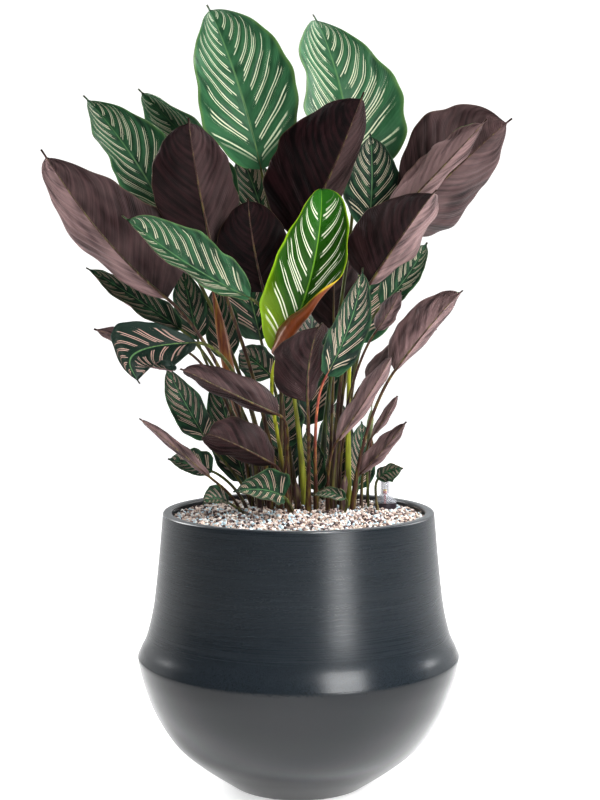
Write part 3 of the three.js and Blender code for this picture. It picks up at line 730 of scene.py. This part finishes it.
def green_upper():
    paint = Paint("leaf_upper", Specular_IOR_Level=0.3)
    along, cell, out, half, pink, painted_light, seed = blade_coordinates(paint)
    lines = stripes(paint, along, cell, out, half, seed)
    # Broad bands between the stripe pairs: the green's own tone, with painted shade of the pleats.
    pleat_tone_and_painted_shade = paint.math("COSINE", cell * TURN)
    patch = paint.noise((cell, out * 2.0, seed), 1.6, 3.0)
    # Painted light and shade: each leaf's painted light makes its green lighter or darker and sets
    # how much of the pale margin shows.
    pale = painted_light * 0.62 + (pleat_tone_and_painted_shade * 0.16 + (patch - 0.5) * 1.5 + 0.1)
    green = paint.mix(pale.clamped(), *GREENS)
    margin = out.step(0.9, 0.995) * (painted_light * 0.4 + 0.15)
    green = paint.mix(margin, green, MARGIN_GREEN)
    green = paint.mix(out.step(0.035, 0.008) * 0.8, green, RIB_GREEN)
    color = paint.mix(lines * 0.93, green, paint.mix(pink, STRIPE_CREAM, STRIPE_PINK))
    color = paint.mix(along.step(0.955, 0.975), color, TIP_BROWN)
    paint.bump(veins(paint, cell, out, seed), 0.0006, 0.6)
    return paint.finish(color, patch.step(0.3, 0.7, 0.34, 0.48))


def purple_under():
    paint = Paint("leaf_under", Specular_IOR_Level=0.09)
    along, cell, out, half, minus_half_painted_light, plus_half_painted_light, seed = blade_coordinates(paint)
    # Painted shade: soft light and dark streaks along the lateral veins stand in for the light and
    # shade of the pleats, and also vary the dark purple.
    pleat = paint.noise((cell * 2.6, out * 0.35, seed), 1.0, 4.0, 0.6)
    pleat_tone_and_painted_shade = pleat.step(0.36, 0.66, -1.0, 1.0)
    patch = paint.noise((cell, out * 2.0, seed), 2.0, 4.0)
    cloud = paint.noise((cell * 0.16, out * 0.8, seed * 5.0), 2.6)
    dark = paint.mix((patch + pleat_tone_and_painted_shade * 0.14).step(0.25, 0.8), *PURPLES)
    # Painted light: each half is made pale mauve by its painted light, varied by the pleats'
    # painted shade and a slow cloud.
    pale = (minus_half_painted_light + half * (plus_half_painted_light - minus_half_painted_light)) * (pleat_tone_and_painted_shade * 0.2 + cloud.step(0.3, 0.65, 0.35, 1.25))
    color = paint.mix(pale.clamped(), dark, PAINTED_LIT_PURPLE)
    color = paint.mix(out.step(0.04, 0.01) * 0.3, color, SALMON)
    color = paint.mix(out.step(0.965, 0.995) * 0.35, color, EDGE_BROWN)
    color = paint.mix(along.step(0.955, 0.975), color, TIP_BROWN)
    paint.bump(veins(paint, cell, out, seed), 0.0007, 0.7)
    return paint.finish(color, patch.step(0.3, 0.7, 0.34, 0.46))


def lime_upper():
    paint = Paint("new_leaf_upper", Specular_IOR_Level=0.22)
    along, cell, out, half, _, _, seed = blade_coordinates(paint)
    lines = stripes(paint, along, cell, out, half, seed)
    patch = paint.noise((cell, out * 2.0, seed), 1.8, 3.0)
    green = paint.mix(patch, *NEW_GREENS)
    green = paint.mix(along.step(0.55, 0.95), green, NEW_TIP)
    green = paint.mix(along.step(0.26, 0.0, 0.0, 0.7), green, NEW_BASE)
    green = paint.mix(out.step(0.9, 0.99), green, NEW_MARGIN)
    green = paint.mix(out.step(0.035, 0.01), green, NEW_RIB)
    paint.bump(veins(paint, cell, out, seed), 0.0006, 0.6)
    return paint.finish(paint.mix(lines, green, NEW_STRIPE), patch.step(0.3, 0.7, 0.26, 0.4))


def orange_under():
    paint = Paint("new_leaf_under", Specular_IOR_Level=0.5)
    _, cell, out, _, _, _, seed = blade_coordinates(paint)
    streak = paint.noise((cell * 6.0, out, seed), 2.0, 3.0)
    color = paint.mix(streak, *ORANGES)
    color = paint.mix(out.step(0.9, 0.97), color, ORANGE_EDGE)
    paint.bump(veins(paint, cell, out, seed), 0.0005, 0.5)
    return paint.finish(color, streak.step(0.3, 0.7, 0.4, 0.5))


def stalk_skin():
    paint = Paint("stalk_skin", Specular_IOR_Level=0.25)
    streak = paint.noise(paint.stretch(paint.place(), 260, 260, 26), 1.0, 3.0)
    color = paint.mix(streak.step(0.35, 0.7, 0.0, 0.6), paint.attribute("tone"), DARK_STREAK)
    color = paint.mix(streak.step(0.55, 0.3, 0.0, 0.25), color, YELLOW_GREEN)
    paint.bump(streak, 0.0008, 0.6)
    return paint.finish(color, streak.step(0.3, 0.7, 0.38, 0.55))


def pot_finish():
    """Slate grey, faintly brushed round the neck and speckled all over, with painted shade that
    darkens the bowl.
    """
    paint = Paint("pot_finish", Specular_IOR_Level=0.3)
    spot = paint.place()
    speck = paint.noise(spot, 900.0, 2.0, 0.7)
    cloud = paint.noise(spot, 9.0, 3.0)
    brush = paint.noise(paint.stretch(spot, 5, 5, 700), 1.0, 3.0, 0.6)
    _, _, height = paint.split(spot)
    neck = height.step(0.165, 0.20)
    color = paint.mix(speck.step(0.35, 0.65), *SLATES)
    color = paint.mix(cloud * 0.25, color, SLATE_CLOUD)
    color = paint.mix(brush.step(0.5, 0.72) * neck * 0.12, color, BRUSHED_GREY)
    # Painted shade: the bowl below the crease is darkened.
    color = paint.mix(height.step(0.165, 0.155, 0.0, 0.6), color, BOWL_PAINTED_SHADE)
    paint.bump(brush * neck * 0.9 + speck * 0.35, 0.00025, 0.5)
    return paint.finish(color, brush * neck * 0.14 + 0.21)


def rim_finish():
    paint = Paint("rim_finish", Specular_IOR_Level=0.5)
    speck = paint.noise(paint.place(), 900.0, 2.0, 0.7)
    paint.bump(speck, 0.0002, 0.4)
    return paint.finish(paint.mix(speck, *RIM_GREYS), 0.5)


def soil_finish():
    paint = Paint("soil_finish", Roughness=0.95)
    crumb = paint.noise(paint.place(), 400.0, 5.0, 0.7)
    paint.bump(crumb, 0.002)
    return paint.finish(paint.mix(crumb, *SOIL_BROWNS))


def grain_finish():
    paint = Paint("gravel_grains", Roughness=0.8, Specular_IOR_Level=0.35)
    speck = paint.noise(paint.place(), 1500.0, 2.0, 0.6)
    paint.bump(speck, 0.0004, 0.5)
    share = speck.step(0.3, 0.7, 0.0, 0.35)
    return paint.finish(paint.mix(share, paint.attribute("tone"), GRAIN_SPECK))


def sleeve_finish():
    paint = Paint("sleeve_finish", Specular_IOR_Level=0.5)
    speck = paint.noise(paint.place(), 700.0)
    paint.bump(speck, 0.0001, 0.4)
    return paint.finish(paint.mix(speck, *SLEEVE_BLACKS), 0.3)


def cap_finish():
    paint = Paint("cap_finish", Alpha=0.3, Specular_IOR_Level=0.45)
    haze = paint.noise(paint.place(), 120.0)
    return paint.finish(paint.mix(haze, *CAP_GREYS), 0.18)


def float_finish():
    """Red, with an orange and a yellow band on the tip of the rod."""
    paint = Paint("float_finish", Specular_IOR_Level=0.5)
    spot = paint.place()
    _, _, height = paint.split(spot)
    speck = paint.noise(spot, 500.0)
    color = paint.mix(height.step(0.3572, 0.3578), FLOAT_RED, FLOAT_ORANGE)
    color = paint.mix(height.step(0.3592, 0.3598), color, FLOAT_YELLOW)
    color = paint.mix(speck.step(0.4, 0.8, 0.0, 0.2), color, FLOAT_SCUFF)
    return paint.finish(color, 0.4)


UPPER = green_upper()
UNDER = purple_under()
NEW_UPPER = lime_upper()
NEW_UNDER = orange_under()
STALK_SKIN = stalk_skin()
POT_FINISH = pot_finish()
RIM_FINISH = rim_finish()
GRAIN_FINISH = grain_finish()
SLEEVE_FINISH = sleeve_finish()
CAP_FINISH = cap_finish()

# ---- leaves ----

BLADE = 0.9
MIDRIB_NECK = 1.9
MIDRIB_TIP = 0.35
VEIN_SWEEP = 0.95


def blade_grid(leaf):
    """Shares along and across for a grid whose rows follow the lateral veins."""
    rows = max(FEWEST_ROWS, int(leaf.length / ROW_STEP))
    step = ROLLED_STEP if leaf.rolls else COLUMN_STEP
    columns = max(FEWEST_COLUMNS, int(leaf.half_width / step))
    vein = np.linspace(0, 1, rows + 1) ** 1.6
    half = np.linspace(0, 1, columns + 1) ** 1.15
    half = np.append(half[:-1], [0.988, 1.0])
    across = np.concatenate([-half[:0:-1], half])
    sweep = VEIN_SWEEP * (1 - vein) * np.sqrt(vein)
    vein, across = np.meshgrid(vein, across, indexing="ij")
    share = vein + sweep[:, None] * np.abs(across) ** 1.1
    return vein, share, across


def blade_mesh(leaf):
    """Points, quads and coordinates of the blade: two faces that meet along the margin."""
    vein, share, across = blade_grid(leaf)
    rows, columns = vein.shape
    middle, normal = leaf.surface(share, across, vein)
    edge = np.zeros(vein.shape, bool)
    edge[[0, -1]] = True
    edge[:, [0, -1]] = True
    thick = (BLADE / 2 * np.where(share > 0.9, 0.8, 1))[..., None] * normal
    upper_index = np.arange(rows * columns).reshape(rows, columns)
    lower_index = upper_index.copy()
    inner = ~edge
    lower_index[inner] = rows * columns + np.arange(inner.sum())
    upper = np.where(edge[..., None], middle, middle + thick)
    lower = (middle - thick)[inner]
    points = np.concatenate([upper.reshape(-1, 3), lower])
    coordinates = np.stack([vein, across], -1)
    coordinates = np.concatenate([coordinates.reshape(-1, 2), coordinates[inner]])

    def quads(index, flip):
        a, b = index[:-1, :-1], index[:-1, 1:]
        c, d = index[1:, 1:], index[1:, :-1]
        order = (a, d, c, b) if flip else (a, b, c, d)
        return np.stack(order, -1).reshape(-1, 4)

    faces = np.concatenate([quads(upper_index, False), quads(lower_index, True)])
    kinds = np.repeat([0, 1], len(faces) // 2)
    return points, faces, kinds, coordinates


def stalk_mesh(leaf):
    """The stalk, which runs on along the blade as its midrib, with its colours."""
    low = np.linspace(0, 1, STALK_RINGS)
    high = np.linspace(0.01, 0.97, RIB_RINGS)
    rib_points, _, rib_up, _ = leaf.frame(high)
    rib_radius = MIDRIB_NECK + (MIDRIB_TIP - MIDRIB_NECK) * high ** 0.8
    rib_radius = rib_radius * min(1.0, 0.45 + leaf.half_width / 90)
    rib_radius[0] = STALK / 2 * STALK_NECK * min(0.95, 0.55 + leaf.half_width / 110)
    rib_points = rib_points - rib_up * (rib_radius * 0.45)[:, None]
    neck = leaf.frame(np.array([0.0]))[2]
    stalk_radius = STALK / 2 * (STALK_FOOT + (STALK_NECK - STALK_FOOT) * low)
    stalk_radius = stalk_radius * min(1.0, 0.55 + leaf.half_width / 110)
    stalk_radius = stalk_radius * (1 + 0.7 * (1 - smoothstep(0.05, 0.42, low)))
    centres = np.concatenate([leaf.stalk(low), rib_points])
    radii = np.concatenate([stalk_radius, rib_radius])
    ups = np.concatenate([np.repeat(neck, len(low), axis=0), rib_up])
    points, faces = tube(centres, radii, ups, STALK_SIDES)
    usual = WINE if leaf.number % 2 else BROWN, BROWN if leaf.under else OLIVE
    foot, neck_tone = np.array(STALK_TONES.get(leaf.number, usual))
    share = np.concatenate([low * 0.999, np.ones(len(high))])
    tone = foot + (neck_tone - foot) * smoothstep(0.15, 0.85, share)[:, None]
    tone = np.repeat(tone[:, None], STALK_SIDES, axis=1)
    facing_up = np.sin(np.arange(STALK_SIDES) * TURN / STALK_SIDES) > -0.2
    rib_tones = (NEW_RIB, NEW_RIB_BELOW) if leaf.number == NEW_LEAF else (PALE_GREEN, SALMON)
    rib_tone = np.where(facing_up[:, None], *rib_tones)
    fade = smoothstep(0.0, 0.12, high)[:, None, None]
    tone[len(low):] = tone[len(low):] * (1 - fade) + rib_tone * fade
    return points, faces, tone.reshape(-1, 3)


def add_leaf(leaf):
    """One piece for a leaf: blade and stalk."""
    blade_points, blade_faces, kinds, coordinates = blade_mesh(leaf)
    stalk_points, stalk_faces, tone = stalk_mesh(leaf)
    points = np.concatenate([blade_points, stalk_points])
    faces = [*blade_faces, *[[i + len(blade_points) for i in face] for face in stalk_faces]]
    kinds = np.concatenate([kinds, np.full(len(stalk_faces), 2)])
    new = leaf.number == NEW_LEAF
    skins = [NEW_UPPER, NEW_UNDER, STALK_SKIN] if new else [UPPER, UNDER, STALK_SKIN]
    piece = mesh_piece(f"foliage_{leaf.number:02d}", points, faces, skins, kinds)
    set_map(piece, "blade", np.concatenate([coordinates, np.zeros((len(stalk_points), 2))]))
    # Painted light: how light each leaf's face is, and for an underside each half, stands in for
    # light and shade.
    pink_and_painted_light = PINK_AND_PAINTED_LIGHT.get(leaf.number, UNDER_PAINTED_LIGHT if leaf.under else UPPER_PINK_AND_PAINTED_LIGHT)
    pink_and_painted_light = (*pink_and_painted_light, leaf.random.random())
    set_points(piece, "pink_and_painted_light", "FLOAT_VECTOR", np.tile(pink_and_painted_light, (len(points), 1)))
    set_points(piece, "pairs", "FLOAT", np.full(len(points), leaf.pairs()))
    set_tones(piece, np.concatenate([np.zeros((len(blade_points), 3)), tone]))
    stand_in(piece, f"leaf_{leaf.number:02d}")


for number, row in enumerate(LEAVES, start=1):
    add_leaf(Leaf(number, row))

# ---- rolled leaves and sheaths ----

SEAM_TURNS = 0.9
SEAM_START = 0.6
SEAM_LOW = 0.86
SEAM_STEP = 0.16


def add_spear(name, root, passed, tip, stem_radius, widest, low_tone, high_tone):
    foot = np.array([*root, ROOT_HEIGHT], float)
    neck, end = np.array(passed, float), np.array(tip, float)
    rise = np.linalg.norm(neck - foot)
    lean = unit(end - neck)
    handle = foot + np.array([0, 0, 0.45 * rise])
    below = neck - lean * 0.4 * rise
    stem = cubic(foot, handle, below, neck, np.linspace(0, 1, STEM_RINGS + 1)[:-1, None])
    blade = np.linspace(0, 1, ROLL_RINGS)
    roll = neck + (end - neck) * blade[:, None]
    swell = np.sin(np.pi * np.minimum(blade + 0.18, 1)) ** 0.8
    radii = np.concatenate([np.full(len(stem), stem_radius), np.maximum(widest * swell, 0.6)])
    centres = np.concatenate([stem, roll])
    ups = np.tile([0.0, -1.0, 0.0], (len(centres), 1))
    points, faces = tube(centres, radii, ups, SPEAR_SIDES)
    points = points.reshape(len(centres), SPEAR_SIDES, 3)
    angles = np.arange(SPEAR_SIDES) * TURN / SPEAR_SIDES
    for row in range(len(stem), len(centres)):
        # The rolled blade's seam winds up the spear: a low step in its radius.
        seam = (SEAM_TURNS * (row - len(stem)) / len(roll) + SEAM_START) * TURN
        turned = ((angles - seam) / TURN) % 1
        swell = (SEAM_LOW + SEAM_STEP * turned)[:, None]
        points[row] = centres[row] + (points[row] - centres[row]) * swell
    up = np.linspace(0, 1, len(centres))[:, None]
    tone = np.array(low_tone) + np.subtract(high_tone, low_tone) * smoothstep(0.2, 0.6, up)
    piece = mesh_piece(f"{name}_roll", points.reshape(-1, 3), faces, [STALK_SKIN])
    set_tones(piece, np.repeat(tone, SPEAR_SIDES, axis=0))
    stand_in(piece, name)


for spear in SPEARS:
    add_spear(*spear)

# ---- planter ----

OUTER_BOWL = [
    (FOOT_RADIUS, 0), (127, 29), (158, 57), (181.5, 96), (195, 135), (BELLY_RADIUS, BELLY_HEIGHT),
]
OUTER_SHOULDER = [
    (BELLY_RADIUS, BELLY_HEIGHT + 2), (196, 170), (188, 188), (180, 223), (173.5, 277),
    (MOUTH_RADIUS, POT_HEIGHT - RIM_EDGE),
]
INNER_WALL = [
    (96, FLOOR), (122, 34), (150, 61), (173, 98), (187, 137), (189, 160), (178, 190),
    (170.5, 223), (164, 277), (MOUTH_RADIUS - RIM_WIDTH, POT_HEIGHT - RIM_EDGE),
]


def rounded(centre, radius, start, stop, steps=5):
    """Points of an arc in the profile's plane, in degrees."""
    angles = np.radians(np.linspace(start, stop, steps))
    return [(centre[0] + radius * math.cos(a), centre[1] + radius * math.sin(a)) for a in angles]


inner_wall = catmull(INNER_WALL, 36)


def wall_radius(height):
    return float(np.interp(height, [z for _, z in inner_wall], [r for r, _ in inner_wall]))


def add_pot():
    outer_edge = rounded((MOUTH_RADIUS - RIM_EDGE, POT_HEIGHT - RIM_EDGE), RIM_EDGE, 0, 90)
    inner = MOUTH_RADIUS - RIM_WIDTH
    inner_edge = rounded((inner + RIM_EDGE, POT_HEIGHT - RIM_EDGE), RIM_EDGE, 90, 180)
    shell = catmull(OUTER_BOWL, 36)[:-1] + catmull(OUTER_SHOULDER, 40)[:-1]
    profile = [(0, 0), (FOOT_RADIUS - 2, 0), *shell, *outer_edge, *inner_edge]
    profile += inner_wall[-2::-1] + [(0, FLOOR)]
    points, faces = lathe(profile, POT_SIDES)
    top = POT_HEIGHT - RIM_SKIN
    kinds = [int(min(points[i][2] for i in face) > top) for face in faces]
    piece = mesh_piece("pot_shell", points, faces, [POT_FINISH, RIM_FINISH], kinds)
    stand_in(piece, "pot")


add_pot()

# ---- gravel ----

GRAIN_SPACING = 3.8
GRAIN_JITTER = 0.9
GRAIN_SIZE = (1.35, 2.55)
GRAIN_LIFT = (-1.2, 1.7)
GRAIN_STRETCH = (0.75, 1.3)
GRAIN_ROUGHNESS = (0.78, 1.18)
GRAIN_SHADE = (0.8, 1.2)
WALL_ROOM = 1.8
ROW_PITCH = 0.866
BED_DROP = 1.6
BED_RINGS = 13
BED_SIDES = 96


def gravel_height(x, y):
    """The gravel is level under the clump and slopes down to the wall."""
    spot = np.array([x, y])
    away = spot - CLUMP
    distance = np.linalg.norm(away)
    if distance < LEVEL_RADIUS:
        return GRAVEL_TOP
    heading = away / distance
    edge = wall_radius(GRAVEL_EDGE)
    along = -dot(CLUMP, heading)[0]
    reach = along + math.sqrt(max(along ** 2 + edge ** 2 - float(CLUMP @ CLUMP), 0))
    slope = min((distance - LEVEL_RADIUS) / max(reach - LEVEL_RADIUS, 1), 1)
    return GRAVEL_TOP + (GRAVEL_EDGE - GRAVEL_TOP) * slope


def grain_shape():
    """An icosahedron's points and faces."""
    golden = (1 + math.sqrt(5)) / 2
    points = []
    for a in (-1, 1):
        for b in (-golden, golden):
            points += [(0, a, b), (a, b, 0), (b, 0, a)]
    points = unit(np.array(points, float))
    faces = []
    side = min(np.linalg.norm(points[0] - p) for p in points[1:]) * 1.05
    for i, j, k in combinations(range(len(points)), 3):
        a, b, c = points[[i, j, k]]
        if max(np.linalg.norm(a - b), np.linalg.norm(b - c), np.linalg.norm(c - a)) < side:
            outward = np.cross(b - a, c - a) @ a > 0
            faces.append((i, j, k) if outward else (i, k, j))
    return points, np.array(faces)


def gravel_bed(edge):
    """The near-black layer under the grains, painted shade in the gaps between them: rings of
    points that follow the gravel's height.
    """
    points = [(0, 0, GRAVEL_TOP - BED_DROP)]
    for share in np.linspace(0, 1, BED_RINGS + 1)[1:]:
        for i in range(BED_SIDES):
            angle = TURN * i / BED_SIDES
            x, y = edge * share * math.cos(angle), edge * share * math.sin(angle)
            points.append((x, y, gravel_height(x, y) - BED_DROP))
    faces = [(0, 1 + i, 1 + (i + 1) % BED_SIDES) for i in range(BED_SIDES)]
    for start in range(1, len(points) - BED_SIDES, BED_SIDES):
        for i in range(BED_SIDES):
            a, b = start + i, start + (i + 1) % BED_SIDES
            faces.append((a, a + BED_SIDES, b + BED_SIDES, b))
    return np.array(points), faces


def grain_tone(pick):
    """The colour that a number from 0 to 1 picks."""
    total = 0
    for tone, share in GRAIN_TONES:
        total += share
        if pick < total:
            break
    return np.array(tone)


def add_gravel():
    draw = random.Random(41)
    shape, shape_faces = grain_shape()
    edge = wall_radius(GRAVEL_EDGE) - GAP
    bed, faces = gravel_bed(edge)
    points, count = [bed], len(bed)
    # The layer under the grains is painted shade for the gaps between them.
    tones = [np.tile(GRAVEL_GAP_PAINTED_SHADE, (count, 1))]
    row_step = GRAIN_SPACING * ROW_PITCH
    for row in range(int(2 * edge / row_step) + 1):
        for column in range(int(2 * edge / GRAIN_SPACING) + 1):
            x = -edge + (column + 0.5 * (row % 2)) * GRAIN_SPACING
            x += draw.uniform(-GRAIN_JITTER, GRAIN_JITTER)
            y = -edge + row * row_step + draw.uniform(-GRAIN_JITTER, GRAIN_JITTER)
            size = draw.uniform(*GRAIN_SIZE)
            lift = draw.uniform(*GRAIN_LIFT)
            stretch = np.array([draw.uniform(*GRAIN_STRETCH) for _ in range(3)]) * size
            angles = [draw.uniform(0, TURN) for _ in range(3)]
            rough = np.array([[draw.uniform(*GRAIN_ROUGHNESS)] for _ in shape])
            pick = draw.random()
            shade = draw.uniform(*GRAIN_SHADE)
            if math.hypot(x, y) > edge - WALL_ROOM:
                continue
            if np.hypot(*(np.array([x, y]) - GAUGE_PLACE)) < SLEEVE_RADIUS:
                continue
            cosines, sines = np.cos(angles), np.sin(angles)
            about_z = np.array([[cosines[0], -sines[0], 0], [sines[0], cosines[0], 0], [0, 0, 1]])
            about_x = np.array([[1, 0, 0], [0, cosines[1], -sines[1]], [0, sines[1], cosines[1]]])
            grain = (shape * rough * stretch) @ (about_z @ about_x).T
            points.append(grain + np.array([x, y, gravel_height(x, y) + lift]))
            tones.append(np.tile(grain_tone(pick) * shade, (len(shape), 1)))
            faces.extend((shape_faces + count).tolist())
            count += len(shape)
    piece = mesh_piece("gravel_grains", np.concatenate(points), faces, [GRAIN_FINISH], smooth=False)
    set_tones(piece, np.concatenate(tones))
    stand_in(piece, "gravel")


add_gravel()

# ---- water gauge ----


def add_gauge():
    sleeve = [
        (SLEEVE_BORE, SLEEVE_BOTTOM), (SLEEVE_RADIUS, SLEEVE_BOTTOM),
        (SLEEVE_RADIUS, SLEEVE_TOP - 0.6), (SLEEVE_RADIUS - 0.6, SLEEVE_TOP),
        (SLEEVE_BORE, SLEEVE_TOP), (SLEEVE_BORE, SLEEVE_BOTTOM),
    ]
    bottom = SLEEVE_TOP + GAP
    shoulder = bottom + CAP_CONE
    outer = SLEEVE_RADIUS + CAP_PROUD
    inner = SLEEVE_RADIUS - CAP_WALL
    cap = [
        (inner, bottom), (outer - 0.4, bottom), (outer, bottom + 0.4),
        (outer, bottom + CAP_BAND), (outer - 1.2, bottom + CAP_BAND + 0.4),
        (NECK_RADIUS + 0.8, shoulder - 0.6), (NECK_RADIUS, shoulder + 0.6),
        (NECK_RADIUS, NECK_TOP - CAP_WALL), (NECK_BORE, NECK_TOP), (0, NECK_TOP),
        (0, NECK_TOP - CAP_WALL), (NECK_BORE, NECK_TOP - CAP_WALL),
        (NECK_BORE, shoulder - CAP_WALL / 2), (inner, bottom + CAP_BAND / 2), (inner, bottom),
    ]
    for name, node, profile, finish in (
        ("gauge_tube", "gauge_sleeve", sleeve, SLEEVE_FINISH),
        ("gauge_top", "gauge_cap", cap, CAP_FINISH),
    ):
        points, faces = lathe(profile, GAUGE_SIDES, GAUGE_PLACE)
        piece = mesh_piece(name, points, faces, [finish])
        piece.data.set_sharp_from_angle(angle=math.radians(35))
        stand_in(piece, node)


add_gauge()

# ---- solids that stay ----

for node, finish in (("soil", soil_finish()), ("gauge_float", float_finish())):
    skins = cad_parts[node].data.materials
    skins.clear()
    skins.append(finish)

# ---- stage, lights and camera ----

CAMERA_DISTANCE = 1.915
CAMERA_HEIGHT = 0.626
CAMERA_SIDE = 0.0018
CAMERA_PITCH = 4.45
CAMERA_LENS = 70
FLOOR_REACH = 8000
FLOOR_DROP = 0.2

# Lamps: each one's place and target in metres, its two sides, its watts and its spread in
# degrees.
LAMPS = [
    ("overhead", (0.35, 0.55, 2.2), (0.0, 0, 0.5), (1.3, 1.1), 26, 180),
    ("key", (1.15, -1.7, 1.5), (0, 0, 0.3), (1.1, 0.7), 40, 180),
    ("low_key", (0.95, -1.5, 0.3), (0.04, -0.14, 0.24), (0.85, 0.7), 0.8, 26),
    ("high_front", (0.2, -1.5, 2.3), (0, 0, 0.75), (1.4, 0.6), 3, 180),
    ("crease", (0.5, -0.95, 1.7), (0.05, -0.23, 0.1), (0.7, 0.5), 2.4, 17),
    ("left_back", (-1.7, 0.9, 1.3), (0, 0, 0.75), (0.8, 1.0), 14, 90),
    ("right_back", (1.7, 0.8, 1.2), (0, 0, 0.7), (0.8, 1.0), 8, 90),
]


def add_floor():
    paint = Paint("floor_finish", Roughness=0.9, Specular_IOR_Level=0.1,
                  Emission_Color=(1, 1, 1), Emission_Strength=0.6)
    signs = ((-1, -1), (1, -1), (1, 1), (-1, 1))
    corners = [(x * FLOOR_REACH, y * FLOOR_REACH, -FLOOR_DROP) for x, y in signs]
    floor = mesh_piece("floor", corners, [(0, 1, 2, 3)], [paint.finish(FLOOR_WHITE)])


def add_lamp(name, place, target, size, power, spread):
    data = bpy.data.lights.new(name, "AREA")
    data.shape = "RECTANGLE"
    data.size, data.size_y = size
    data.energy = power
    data.spread = math.radians(spread)
    lamp = bpy.data.objects.new(name, data)
    lamp.location = place
    lamp.rotation_euler = (Vector(target) - Vector(place)).to_track_quat("-Z", "Y").to_euler()
    bpy.context.scene.collection.objects.link(lamp)


def add_world():
    """White behind the object and at its sides, and darker where the camera stands."""
    world = bpy.data.worlds.new("studio")
    tree = Tree(world, "Background", Color=(1, 1, 1))
    _, depth, _ = tree.split(tree.node("TexCoord", output="Generated"))
    tree.put(tree.shader.inputs["Strength"], depth.step(-0.1, 0.45, 0.02, 1.05))
    bpy.context.scene.world = world


def add_camera():
    data = bpy.data.cameras.new("camera")
    data.lens = CAMERA_LENS
    camera = bpy.data.objects.new("camera", data)
    camera.location = (CAMERA_SIDE, -CAMERA_DISTANCE, CAMERA_HEIGHT)
    camera.rotation_euler = (math.radians(90 - CAMERA_PITCH), 0, 0)
    bpy.context.scene.collection.objects.link(camera)
    bpy.context.scene.camera = camera


add_floor()
add_world()
for lamp in LAMPS:
    add_lamp(*lamp)
add_camera()
view = bpy.context.scene.view_settings
view.view_transform = "Standard"
view.gamma = 0.88
view.exposure = 0.12

bpy.context.view_layer.update()
